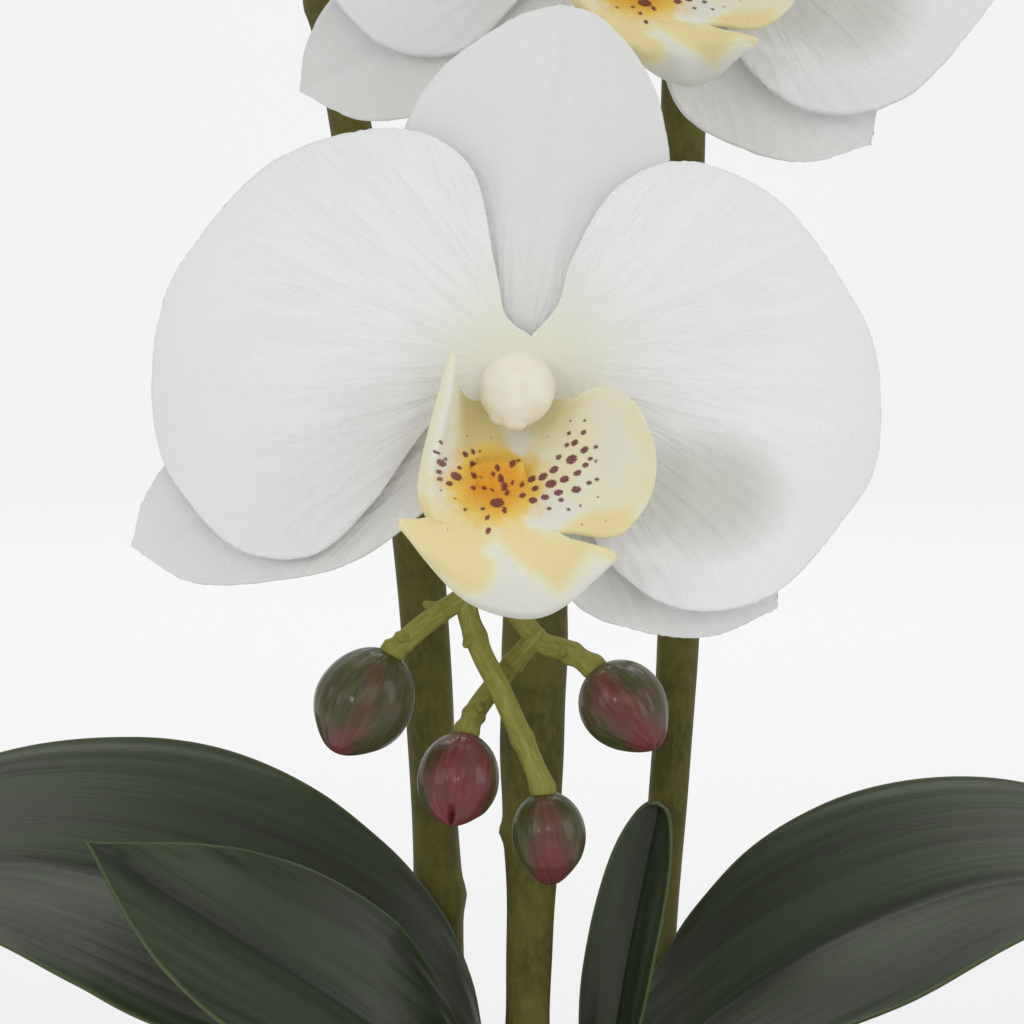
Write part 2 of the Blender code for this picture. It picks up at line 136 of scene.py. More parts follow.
def thicken(piece, thickness):
    """Gives a sheet its thickness in millimetres, half of it on each side."""
    wall = piece.modifiers.new("thickness", "SOLIDIFY")
    wall.thickness = thickness * MM
    wall.offset = 0.0
    return piece


print("a sheet can be laid, finished and thickened")

# %% Roll a grid into a stalk
def tube_points(line, sides, shape=None):
    """Points around a line of (x, y, z, radius). `shape` may change the radius by turn and by place."""
    centre, radius = line[:, :3], line[:, 3]
    along = np.gradient(centre, axis=0)
    along /= np.linalg.norm(along, axis=1)[:, None]
    side = np.cross(along[0], (0.0, 1.0, 0.0))
    if np.linalg.norm(side) < 0.1:
        side = np.cross(along[0], (1.0, 0.0, 0.0))
    sideways = []
    for direction in along:
        side = side - direction * side.dot(direction)
        side = side / np.linalg.norm(side)
        sideways.append(side)
    sideways = np.array(sideways)
    across = np.cross(along, sideways)
    turn = np.linspace(0, 2 * np.pi, sides + 1)[None, :]
    share = np.linspace(0, 1, len(line))[:, None]
    reach = radius[:, None] * np.ones_like(turn)
    if shape:
        reach = reach * shape(turn, share)
    ring = np.cos(turn)[..., None] * sideways[:, None] + np.sin(turn)[..., None] * across[:, None]
    return centre[:, None] + ring * reach[..., None]


CAP_ANGLES = (0.6, 1.1, 1.4, math.pi / 2)  # the rings of a rounded end, from the tube to its middle


def rounded_ends(line):
    """The line with its radius drawn in to nothing at both ends, so that a tube on it is closed."""
    caps = []
    for end, inner in ((line[0], line[1]), (line[-1], line[-2])):
        inward = inner - end
        outward = -inward[:3] / np.linalg.norm(inward[:3])
        radius = end[3]
        cap = [
            np.r_[end[:3] + outward * radius * math.sin(angle), radius * math.cos(angle)]
            for angle in CAP_ANGLES
        ]
        caps.append(np.array(cap))
    return np.vstack([caps[0][::-1], line, caps[1]])


def add_tube(bm, line, sides, shape=None):
    """A closed tube in bm. Gives its vertices, and the row and column of each."""
    return laid_grid(bm, tube_points(rounded_ends(line), sides, shape))


print("a rounded end has", len(CAP_ANGLES), "rings")

# %% [markdown]
# ## Node helpers
# A finish here is a node tree on one Principled shader. Writing each node out in full takes many lines, so
# these helpers add one node each and give back its output, ready to be the next node's input. Values that are
# the same everywhere, such as sheen, are set on the shader itself.

# %% Short calls for nodes
def new_material(name, **settings):
    """A material with one Principled shader, set as given."""
    material = bpy.data.materials.new(name)
    material.use_nodes = True
    shader = material.node_tree.nodes["Principled BSDF"]
    for setting, value in settings.items():
        shader.inputs[setting.replace("_", " ")].default_value = value
    return material


def add(material, kind, inputs=None, output=0, **settings):
    """One node of this kind. Each input is a number, a colour or another node's output."""
    tree = material.node_tree
    node = tree.nodes.new("ShaderNode" + kind)
    for setting, value in settings.items():
        setattr(node, setting, value)
    for key, value in (inputs or {}).items():
        if isinstance(value, bpy.types.NodeSocket):
            tree.links.new(value, node.inputs[key])
        else:
            node.inputs[key].default_value = value
    return node.outputs[output]


def calc(material, operation, first, second=0.0):
    """The result of a Math node."""
    return add(material, "Math", {0: first, 1: second}, operation=operation)


def step(material, value, low, high):
    """A soft step from 0 at low to 1 at high."""
    inputs = {"Value": value, "From Min": low, "From Max": high}
    return add(material, "MapRange", inputs, interpolation_type="SMOOTHSTEP")


def mixed(material, amount, first, second):
    """One colour where the amount is 0, the other where it is 1."""
    colours = [(*c, 1.0) if isinstance(c, tuple) else c for c in (first, second)]
    return add(material, "Mix", {0: amount, 6: colours[0], 7: colours[1]}, 2, data_type="RGBA")


def note(material, name):
    """The vector that a piece keeps on its vertices under this name."""
    return add(material, "Attribute", None, 1, attribute_name=name)


def parts(material, vector):
    """The three numbers of a vector."""
    node = material.node_tree.nodes.new("ShaderNodeSeparateXYZ")
    material.node_tree.links.new(vector, node.inputs[0])
    return node.outputs


def joined(material, first, second, third):
    """A vector from three numbers."""
    return add(material, "CombineXYZ", {0: first, 1: second, 2: third})


def stretched(material, vector, scale):
    """The vector with each of its numbers scaled."""
    return add(material, "Mapping", {"Vector": vector, "Scale": scale})


def cloud(material, vector, scale, detail=2.0, roughness=0.5, distortion=0.0):
    """A noise texture's value."""
    inputs = {"Vector": vector, "Scale": scale, "Detail": detail, "Roughness": roughness}
    return add(material, "TexNoise", {**inputs, "Distortion": distortion})


def in_mm(material):
    """A piece's own coordinates in millimetres."""
    place = add(material, "TexCoord", None, 3)
    return stretched(material, place, (1 / MM,) * 3)


def relief(material, height, depth, strength=1.0, under=None):
    """A bump of this depth in millimetres, on top of another one if there is one."""
    inputs = {"Height": height, "Distance": depth * MM, "Strength": strength}
    if under is not None:
        inputs["Normal"] = under
    return add(material, "Bump", inputs)


def connect(material, **outputs):
    """Links outputs to the shader's sockets."""
    shader = material.node_tree.nodes["Principled BSDF"]
    for socket, value in outputs.items():
        material.node_tree.links.new(value, shader.inputs[socket.replace("_", " ")])
    return material


print("node helpers are ready")

# %% [markdown]
# ## The cloth of the petals
# Real silk flowers are cut from a fine white weave that is stiffened, tinted a little green towards the
# middle, and pressed between hot moulds that leave forked veins. A texture picture could hold the veins.
# Here every petal keeps two notes on its vertices: its fan (the turn around the flower's centre and the
# distance from it) and its flat place. Noise that is stretched along the fan gives veins that split and die
# out as they run. The flat place carries the weave, and a soft grey-green patch of painted shade in the
# hollow of the right petal.

# %% Petal and sepal cloth
def woven(material, flat, period):
    """The height of a plain weave with this many millimetres between threads."""
    x, y, _ = parts(material, flat)
    turn = 2 * math.pi / period
    warp = calc(material, "SINE", calc(material, "MULTIPLY", x, turn))
    weft = calc(material, "SINE", calc(material, "MULTIPLY", y, turn))
    return calc(material, "MULTIPLY", warp, weft)


WEAVE_PERIOD, WEAVE_DEPTH = 0.46, 0.035  # millimetres
VEIN_DEPTH = 0.13
VEIN_SHARE = 0.2  # how much of the tone the veins give
# Painted shade: a soft grey-green patch on the right petal's lower part, standing in for the shade in its
# hollow.
SHADE_PATCH_MIDDLE, SHADE_PATCH_HALF = (23.5, -13.4), (12.5, 9.5)  # where a patch of painted shade lies on the right petal, in its millimetres
SHADE_PATCH_COLOUR = (0.60, 0.605, 0.555)


def cloth_material(name, light, shade, heart):
    """White cloth: `light` on the veins, `shade` between them and `heart` around the flower's centre."""
    cloth = new_material(name, Roughness=0.85, Sheen_Weight=0.12, Sheen_Roughness=0.6)
    fan, flat = note(cloth, "fan"), note(cloth, "flat")
    out = parts(cloth, fan)[1]
    coarse = cloud(cloth, stretched(cloth, fan, (8.0, 0.05, 0.05)), 1.0, 1.0, 0.5, 0.5)
    fine = cloud(cloth, stretched(cloth, fan, (16.0, 0.10, 0.05)), 1.0, 1.0, 0.5, 0.6)
    ridge = calc(cloth, "ABSOLUTE", calc(cloth, "SUBTRACT", coarse, 0.5))
    ridge = step(cloth, ridge, 0.12, 0.0)
    thread = calc(cloth, "ABSOLUTE", calc(cloth, "SUBTRACT", fine, 0.5))
    thread = step(cloth, thread, 0.11, 0.0)
    reach = calc(cloth, "MULTIPLY", step(cloth, out, 5.0, 16.0), step(cloth, out, 46.0, 30.0))
    both = calc(cloth, "MAXIMUM", ridge, calc(cloth, "MULTIPLY", thread, 0.6))
    veins = calc(cloth, "MULTIPLY", both, reach)
    patches = cloud(cloth, stretched(cloth, flat, (0.045, 0.045, 0.045)), 1.0, 2.0)
    tone = calc(cloth, "MULTIPLY", veins, VEIN_SHARE)
    tone = calc(cloth, "ADD", tone, calc(cloth, "MULTIPLY", patches, 0.6))
    colour = mixed(cloth, step(cloth, tone, 0.15, 0.75), shade, light)
    uneven = calc(cloth, "ADD", out, calc(cloth, "MULTIPLY", coarse, 7.0))
    colour = mixed(cloth, step(cloth, uneven, 21.0, 7.0), colour, heart)
    # Painted shade: the grey-green patch in the right petal's hollow; the right lateral sepal gets it at the
    # same place.
    squares = []
    for place, middle, half in zip(parts(cloth, flat)[:2], SHADE_PATCH_MIDDLE, SHADE_PATCH_HALF):
        off = calc(cloth, "MULTIPLY", calc(cloth, "SUBTRACT", place, middle), 1 / half)
        squares.append(calc(cloth, "MULTIPLY", off, off))
    shade_patch = step(cloth, calc(cloth, "ADD", *squares), 1.0, 0.0)
    shade_patch = calc(cloth, "MULTIPLY", shade_patch, calc(cloth, "ADD", patches, 0.25))
    colour = mixed(cloth, shade_patch, colour, SHADE_PATCH_COLOUR)
    weave = woven(cloth, flat, WEAVE_PERIOD)
    bump = relief(cloth, veins, VEIN_DEPTH, 0.6)
    bump = relief(cloth, weave, WEAVE_DEPTH, 0.5, bump)
    return connect(cloth, Base_Color=colour, Normal=bump)


petal_cloth = cloth_material(
    "petal_cloth", light=(0.86, 0.863, 0.875), shade=(0.805, 0.81, 0.81), heart=(0.80, 0.805, 0.68)
)
sepal_cloth = cloth_material(
    "sepal_cloth", light=(0.81, 0.814, 0.81), shade=(0.755, 0.762, 0.745), heart=(0.75, 0.76, 0.65)
)
print("cloth:", petal_cloth.name, sepal_cloth.name)

# %% [markdown]
# ## Where each flower faces
# A flower is built once in its own frame, with x to its right, y up and the third number towards its front.
# Each CAD column is a round dome whose foot stands just in front of the petals, so its box, turned to the
# flower's own angles, gives the centre and the size of the flower that carries it.

# %% Flower frames
COLUMN_FOOT = 1.05  # the CAD dome's foot stands this far in front of the flower's centre
COLUMN_REACH = 4.8  # the dome's radius on a flower of size 1
# Degrees that each flower turns right, looks up and rolls, degrees that its lower sepals hang, and
# millimetres that its lip's front leans sideways and lifts. One lip is also narrower towards its front.
FLOWERS = {
    1: {"turn": 0, "look_up": 5, "roll": 0, "hang": 0, "lean": 0, "lift": 0},
    2: {"turn": 3, "look_up": -3, "roll": 1, "hang": 8, "lean": 3.0, "lift": 4.5, "narrow": 0.3},
    3: {"turn": -14, "look_up": 0, "roll": -4, "hang": 4, "lean": -2.0, "lift": 1.0},
    4: {"turn": 12, "look_up": 2, "roll": 5, "hang": 6, "lean": 1.5, "lift": 0.5},
    5: {"turn": -2, "look_up": 4, "roll": 2, "hang": 2, "lean": -1.0, "lift": 2.0},
}


def flower_frame(number):
    """The flower's turn, its centre in millimetres and its size."""
    pose = FLOWERS[number]
    angles = (-pose["look_up"], pose["roll"], pose["turn"])
    turn = Euler([math.radians(angle) for angle in angles]).to_matrix()
    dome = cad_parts[f"flower_{number}_column"].data
    places = np.array([turn.transposed() @ vertex.co for vertex in dome.vertices]) / MM
    low, high = places.min(axis=0), places.max(axis=0)
    size = (high[0] - low[0]) / (2 * COLUMN_REACH)
    centre = turn @ Vector(((low[0] + high[0]) / 2, high[1] + COLUMN_FOOT, (low[2] + high[2]) / 2))
    return np.array(turn), np.array(centre), size


frames = {number: flower_frame(number) for number in FLOWERS}
for number, (_, centre, size) in frames.items():
    print(f"flower {number}: centre {centre.round(1).tolist()} mm, size {size:.3f}")


def in_flower(number, points):
    """Points of (x, y, front) in a flower's own frame as places in the model, in millimetres."""
    turn, centre, _ = frames[number]
    local = np.stack([points[..., 0], -points[..., 2], points[..., 1]], axis=-1)
    return local @ turn.T + centre


# %% [markdown]
# ## Petals and sepals
# A moth orchid has three narrow sepals behind and two broad petals in front. In cloth the two petals are
# one butterfly-shaped piece with a notch above the column. Each half is a grid between its two edges, from
# the seam to the tip, and both halves share the seam, so merging by distance joins them. The cut edge is
# never quite clean, and a little seeded unevenness there reads as fraying.

# %% Their outlines
OUTLINES = {  # each one's two edges, from the flower's middle to the tip, in the flower's millimetres
    "dorsal_sepal": (
        ((-1.6, 3.2), (-8.5, 13), (-14.6, 25), (-13.8, 33), (-9.2, 40.2), (-1.6, 45.7), (2.4, 47.5),
         (5.5, 48.1)),
        ((1.6, 3.2), (10.5, 13), (18.4, 25), (18.3, 33.5), (15.9, 40.2), (11.6, 45.6), (8.8, 47.4),
         (5.5, 48.1)),
    ),
    "lateral_sepal_left": (
        ((-3.4, -0.2), (-16, -1.5), (-30, -2.5), (-41.5, -7.5), (-46.6, -13.5), (-48.4, -19.8)),
        ((-2.0, -2.8), (-9, -13), (-20, -21.5), (-31, -24.2), (-41, -24.3), (-48.4, -19.8)),
    ),
    "lateral_sepal_right": (
        ((3.4, -0.2), (15, -3), (26, -8), (32, -16), (32.6, -22), (32.8, -27.6)),
        ((2.0, -2.8), (1.5, -13), (6.6, -26.2), (15.4, -30.4), (24.5, -31.1), (32.8, -27.6)),
    ),
    "petal_left": (
        ((1.8, 6.4), (-1.5, 9.2), (-2.9, 16), (-6.2, 28), (-16, 32.2), (-30.5, 28), (-41.5, 16),
         (-44.8, 7.6), (-45.6, 0)),
        ((0.5, -1.2), (-10.0, -4), (-18, -14.4), (-25.5, -20.9), (-35, -20), (-42.5, -12),
         (-44.9, -6.0), (-45.6, 0)),
    ),
    "petal_right": (
        ((1.8, 6.4), (5.2, 10.4), (7.2, 16.5), (12.6, 25), (21.6, 28.1), (33, 22.9), (42, 10.7),
         (44.8, 3.8), (45.5, -3.5)),
        ((0.5, -1.2), (7, -9), (10.6, -20.5), (20, -27.5), (32, -25.7), (42, -14.8), (44.8, -9.4),
         (45.5, -3.5)),
    ),
}
SEPAL_DEPTH, PETAL_DEPTH = -1.3, 0.4  # how far in front of the flower's middle their roots stand
FAN_CENTRES = {"dorsal_sepal": (0.0, -16.0), "petal_left": (1.5, 3.0), "petal_right": (1.5, 3.0)}
HANGS = {"lateral_sepal_left": 1, "lateral_sepal_right": -1}  # which way a hanging sepal turns
FRAY = 0.05  # how uneven the cut edge is, in millimetres
VEIN_RELIEF = 0.05
print("outlines:", len(OUTLINES))


# %% A petal as a grid of points
def pressed_veins(turn, out):
    """The broad veins that the mould presses in: seven to each radian, and twice as many farther out."""
    bent = turn + 0.012 * np.sin(out / 4.0 + 3.0 * turn)
    near = np.cos(2 * np.pi * 7.0 * bent) * between(out, 5, 12) * (1 - between(out, 20, 34))
    far = np.cos(2 * np.pi * 14.0 * bent + 0.8) * between(out, 15, 25) * (1 - between(out, 32, 44))
    return near + far


def tepal_points(part, number, rows, columns, rng):
    """A petal or sepal as points of (x, y, front), with its fan and its flat place."""
    first, second = (smooth_line([(*p, 0) for p in edge], rows + 1) for edge in OUTLINES[part])
    a = np.linspace(-1, 1, columns + 1)[None, :]
    b = np.linspace(0, 1, rows + 1)[:, None]
    flat = first[:, None] * (1 - a[..., None]) / 2 + second[:, None] * (1 + a[..., None]) / 2
    x, y = flat[..., 0], flat[..., 1]
    fan_x, fan_y = FAN_CENTRES.get(part, (0.0, 0.0))
    out = np.hypot(x - fan_x, y - fan_y)
    turn = np.arctan2(y - fan_y, np.abs(x - fan_x) if part != "dorsal_sepal" else x - fan_x)
    if part.startswith("petal"):
        base = PETAL_DEPTH
        phase = number + (1.3 if part == "petal_left" else 0)
        swell = np.sin(np.pi * b**1.25)
        front = base + 3.2 * swell - 3.4 * b**2 - 1.6 * np.abs(a) ** 3 * swell
        wave = 0.5 * np.sin(5.0 * turn + phase) * between(out, 16, 40)
    else:
        base = SEPAL_DEPTH
        swell = np.sin(np.pi * b)
        front = base + 0.6 * swell - 3.8 * b**2 + 1.2 * np.abs(a) ** 3 * swell
        wave = 0.35 * np.sin(4.0 * turn + 2.0 * number) * between(out, 14, 36)
        wave = wave - 0.5 * np.exp(-(a / 0.12) ** 2) * swell  # the channel along its middle
    front = front + wave + VEIN_RELIEF * pressed_veins(turn, out)
    edge = (np.abs(a) > 0.999) & (b > 0.02)
    ragged = rng.normal(0.0, FRAY, (rows + 1, columns + 1)) * edge
    shrink = 1 + ragged / np.maximum(out, 5)
    hang = math.radians(FLOWERS[number]["hang"] * HANGS.get(part, 0))
    cos, sin = math.cos(hang), math.sin(hang)
    size = frames[number][2]
    x, y = x * shrink, y * shrink
    turned_x, turned_y = x * cos - y * sin, x * sin + y * cos
    place = np.stack([turned_x * size, turned_y * size, base + (front - base) * size], axis=-1)
    return place, np.stack([turn, out, front], axis=-1), np.stack([x, y, front], axis=-1)


# %% Build them for all five flowers
NEAREST = 1
GRIDS = {NEAREST: ((130, 110), (100, 70))}  # rows and columns of its petals and of its sepals
FARTHER_GRIDS = ((84, 72), (64, 44))
CLOTH_THICKNESS = 0.45
SEAM_GAP = 0.02  # vertices that are nearer than this are merged


def cloth_piece(name, number, part_names, grid, material):
    """One or two tepals as one sheet of cloth. Halves that share a seam are merged along it."""
    rng = np.random.default_rng(100 * number + len(name))
    bm = bmesh.new()
    fan_layer = bm.verts.layers.float_vector.new("fan")
    flat_layer = bm.verts.layers.float_vector.new("flat")
    for part in part_names:
        points, fan, flat = tepal_points(part, number, *grid, rng)
        made, where = laid_grid(bm, in_flower(number, points))
        for vertex, (row, column) in zip(made, where):
            vertex[fan_layer] = fan[row, column]
            vertex[flat_layer] = flat[row, column]
    bmesh.ops.remove_doubles(bm, verts=bm.verts, dist=SEAM_GAP * MM)
    bmesh.ops.recalc_face_normals(bm, faces=bm.faces)
    nodes = [f"flower_{number}_{part}" for part in part_names]
    return thicken(finished(name, bm, material, nodes), CLOTH_THICKNESS)


for number in FLOWERS:
    petal_grid, sepal_grid = GRIDS.get(number, FARTHER_GRIDS)
    halves = ("petal_left", "petal_right")
    cloth_piece(f"petals_{number}", number, halves, petal_grid, petal_cloth)
    for part in ("dorsal_sepal", "lateral_sepal_left", "lateral_sepal_right"):
        cloth_piece(f"{part}_{number}", number, (part,), sepal_grid, sepal_cloth)
print("cloth pieces:", 4 * len(FLOWERS))

# %% [markdown]
# ## The lip's print and its painted shade
# The lip is pale cloth printed with soft yellow, a burst of orange on the callus and rows of dark red dots
# that run out onto the side lobes. Below the column the throat's yellow is darkened to olive, as painted
# shade.
# A painted texture could hold the print. Here the areas are worked out once, in the flower's own millimetres,
# as notes of how yellow, orange, olive-shaded and white each vertex is and of how far it lies from the
# nearest dot. The nodes cut the dots out at a distance of zero, so their edges stay crisp on a coarse mesh,
# and noise makes them ragged.

# %% Lip material
# The olive is painted shade: the throat's yellow where it lies in the column's shadow.
CREAM, WHITE_CLOTH, SHADE_OLIVE = (0.80, 0.785, 0.60), (0.77, 0.765, 0.68), (0.72, 0.63, 0.30)
YELLOW, SPECKLE_ORANGE = (0.81, 0.71, 0.38), (0.80, 0.50, 0.12)
AMBER, ORANGE, DARK_RED = (0.83, 0.57, 0.09), (0.80, 0.36, 0.012), (0.14, 0.012, 0.030)


def lip_material():
    lip = new_material("printed_and_shaded_lip", Roughness=0.7, Sheen_Weight=0.1, Sheen_Roughness=0.6)
    yellow, orange, dots = parts(lip, note(lip, "print"))
    olive_shade, white, _ = parts(lip, note(lip, "shade"))
    flat = note(lip, "flat")
    grain = cloud(lip, flat, 0.55, 3.0, 0.6)
    shift = calc(lip, "MULTIPLY", calc(lip, "SUBTRACT", grain, 0.5), 0.6)
    speckle = cloud(lip, flat, 5.0, 2.0, 0.7)
    fine = calc(lip, "MULTIPLY", calc(lip, "SUBTRACT", speckle, 0.5), 0.5)
    shift = calc(lip, "ADD", shift, fine)
    colour = mixed(lip, step(lip, calc(lip, "ADD", white, shift), 0.15, 0.85), CREAM, WHITE_CLOTH)
    # painted shade: olive over the throat below and beside the column
    colour = mixed(lip, step(lip, calc(lip, "ADD", olive_shade, shift), 0.1, 1.0), colour, SHADE_OLIVE)
    colour = mixed(lip, step(lip, calc(lip, "ADD", yellow, shift), 0.05, 1.0), colour, YELLOW)
    warm = step(lip, calc(lip, "MULTIPLY", yellow, speckle), 0.42, 0.62)
    colour = mixed(lip, calc(lip, "MULTIPLY", warm, 0.28), colour, SPECKLE_ORANGE)
    colour = mixed(lip, step(lip, calc(lip, "ADD", orange, shift), 0.1, 0.6), colour, AMBER)
    colour = mixed(lip, step(lip, calc(lip, "ADD", orange, shift), 0.5, 1.15), colour, ORANGE)
    spot = step(lip, calc(lip, "ADD", dots, calc(lip, "MULTIPLY", fine, 1.1)), 0.08, -0.05)
    weak = step(lip, speckle, 0.56, 0.62)
    spot = calc(lip, "MULTIPLY", spot, calc(lip, "SUBTRACT", 0.95, calc(lip, "MULTIPLY", weak, 0.2)))
    colour = mixed(lip, spot, colour, DARK_RED)
    bump = relief(lip, woven(lip, flat, 0.42), 0.03, 0.45)
    return connect(lip, Base_Color=colour, Normal=bump)


printed_and_shaded_lip = lip_material()
print("lip:", printed_and_shaded_lip.name)

# %% Areas of the print
YELLOW_AREAS = (  # outlines in a flower's own millimetres
    ((-15.2, -15.5), (-14.2, -18.4), (-11.0, -21.9), (-6.4, -25.4), (-4.4, -25.3), (-2.9, -23.8),
     (-2.6, -21.6), (-3.6, -20.2), (-2.9, -18.8), (-2.5, -16.4), (-9.0, -15.2)),
    ((-2.7, -16.4), (-2.4, -19.0), (0.4, -22.4), (3.2, -23.8), (5.2, -25.3), (7.4, -22.9), (9.2, -20.6),
     (12.6, -21.4), (12.0, -19.4), (8.0, -18.9), (3.4, -18.4), (0.8, -16.4)),
    ((5.0, -17.6), (6.6, -15.8), (10.4, -15.4), (14.4, -14.6), (15.0, -17.8), (10.4, -19.4), (5.4, -18.8)),
    ((-13.4, -12.8), (-10.4, -13.2), (-9.0, -17.4), (-12.4, -17.4)),
)
HALF_YELLOW_AREAS = (
    ((-13.2, 0.0), (-9.6, 3.6), (-8.8, -4.0), (-9.8, -12.0), (-13.4, -13.0)),
    ((14.2, -0.4), (18.2, -6.0), (17.8, -14.0), (14.0, -16.4), (14.9, -9.0), (12.4, -3.0)),
    ((3.4, -9.6), (6.6, -5.4), (9.4, -3.0), (10.2, -6.8), (7.4, -10.6), (3.4, -13.6)),
)
# Where the olive painted shade lies, below and beside the column, in a flower's own millimetres.
OLIVE_SHADE_AREAS = (((-8.0, -8.8), (-7.4, 0.6), (-2.4, -1.0), (-1.2, -7.4), (-2.0, -10.2)),)
FAINT_OLIVE_SHADE_AREAS = (((1.2, -3.0), (2.0, -9.4), (7.0, -5.0), (9.4, -1.4), (5.0, 0.0)),)
HOLLOW_AREAS = (((-1.4, -2.6), (-1.5, -7.4), (0.4, -8.7), (2.0, -7.8), (2.6, -2.6)),)  # above the callus
WHITE_AREAS = (
    *HOLLOW_AREAS,
    ((1.0, -13.2), (4.8, -13.2), (8.6, -15.4), (5.0, -17.9), (1.4, -17.2)),
    ((-8.0, 1.8), (-6.6, -0.6), (-6.2, -8.6), (-7.6, -11.0), (-10.2, -13.6), (-10.3, -8.6), (-9.3, -3.4)),
    ((-4.2, -20.3), (-2.6, -19.8), (1.2, -23.4), (5.4, -26.4), (9.6, -22.0), (12.4, -21.6), (9.0, -28.4),
     (-2.0, -30.0), (-9.0, -27.0), (-6.2, -26.0), (-3.4, -25.6), (-1.8, -22.0)),
)
HALF_WHITE_AREAS = (
    ((9.4, -1.4), (12.8, -3.0), (14.8, -8.0), (13.0, -12.6), (10.4, -11.4), (9.8, -6.0)),
)
DOTS = (  # the middle of each dot and half its length
    (1.9, -11.6, 0.55), (3.3, -11.3, 0.62), (4.7, -10.4, 0.6), (5.3, -8.8, 0.4), (6.3, -7.3, 0.36),
    (6.6, -5.8, 0.3), (6.8, -4.2, 0.16), (2.3, -12.8, 0.48), (4.3, -12.2, 0.72), (6.0, -11.6, 0.6),
    (7.6, -10.8, 0.52), (8.6, -9.8, 0.42), (9.2, -9.0, 0.34), (9.9, -7.5, 0.32), (6.9, -9.1, 0.75),
    (7.3, -7.0, 0.5), (8.5, -7.9, 0.55), (8.4, -5.7, 0.4), (8.5, -4.2, 0.22), (2.0, -14.3, 0.55),
    (3.5, -13.9, 0.5), (5.2, -13.3, 0.55), (7.4, -12.9, 0.62), (9.0, -12.0, 0.36), (10.0, -11.6, 0.3),
    (9.9, -9.3, 0.22), (4.0, -15.3, 0.3), (5.5, -14.2, 0.36), (6.4, -15.4, 0.26), (7.9, -14.9, 0.2),
    (10.1, -13.8, 0.14), (-6.6, -8.4, 0.42), (-5.6, -8.1, 0.36), (-4.7, -8.0, 0.2), (-5.6, -9.7, 0.5),
    (-7.3, -10.1, 0.3), (-7.7, -11.2, 0.72), (-8.5, -12.1, 0.42), (-5.1, -11.1, 0.44), (-4.2, -11.3, 0.2),
    (-2.4, -10.2, 0.4), (-2.9, -10.9, 0.3), (-2.0, -11.4, 0.5), (-3.9, -12.5, 0.32), (-3.0, -12.9, 0.36),
    (-1.6, -12.4, 0.55), (-0.7, -11.9, 0.28), (-5.5, -12.7, 0.4), (0.4, -12.1, 0.36), (-1.2, -13.4, 0.38),
    (0.7, -13.7, 0.42), (-2.4, -14.6, 0.85), (-1.5, -15.5, 0.42), (-4.2, -15.3, 0.3), (-3.6, -16.4, 0.36),
    (-3.5, -18.0, 0.44), (-6.5, -15.4, 0.24), (-7.8, -14.0, 0.18), (-0.7, -9.7, 0.55), (0.2, -9.3, 0.3),
    (-9.5, -7.0, 0.26), (-9.9, -8.3, 0.3), (-9.5, -9.5, 0.6), (-9.0, -9.0, 0.25), (-9.8, -10.6, 0.36),
    (-9.7, -11.5, 0.36), (-9.6, -12.9, 0.16), (-3.2, -6.4, 0.1), (-6.4, -6.1, 0.08), (-5.0, -9.0, 0.12),
    (3.9, -6.2, 0.09), (1.1, -5.4, 0.07), (8.0, -17.2, 0.1), (11.0, -16.8, 0.09), (-8.6, -17.8, 0.1),
)
ORANGE_MIDDLE, ORANGE_REACH = (-2.7, -12.2), (5.6, 4.6)
ROWS_MIDDLE = (-1.6, -14.6)  # the dots point away from here
DOT_SLIMNESS = 0.68  # a dot's width as a share of its length
print("areas:", len(YELLOW_AREAS) + len(WHITE_AREAS), "and dots:", len(DOTS))


# %% Work the print out as notes
def inside(areas, x, y, soft):
    """How far each point is inside any of the outlines: 0 outside, 1 inside, soft over this many mm."""
    best = np.full(x.shape, -99.0)
    for area in areas:
        corners = np.array(area)
        away = np.full(x.shape, 99.0)
        within = np.zeros(x.shape, bool)
        for (x1, y1), (x2, y2) in zip(corners, np.roll(corners, -1, axis=0)):
            share = ((x - x1) * (x2 - x1) + (y - y1) * (y2 - y1)) / ((x2 - x1) ** 2 + (y2 - y1) ** 2)
            share = np.clip(share, 0, 1)
            nearest_x, nearest_y = x1 + share * (x2 - x1), y1 + share * (y2 - y1)
            away = np.minimum(away, np.hypot(x - nearest_x, y - nearest_y))
            crosses = (y1 > y) != (y2 > y)
            within ^= crosses & (x < (x2 - x1) * (y - y1) / (y2 - y1 if y2 != y1 else 1e-9) + x1)
        best = np.maximum(best, np.where(within, away, -away))
    return between(best, -soft, soft)


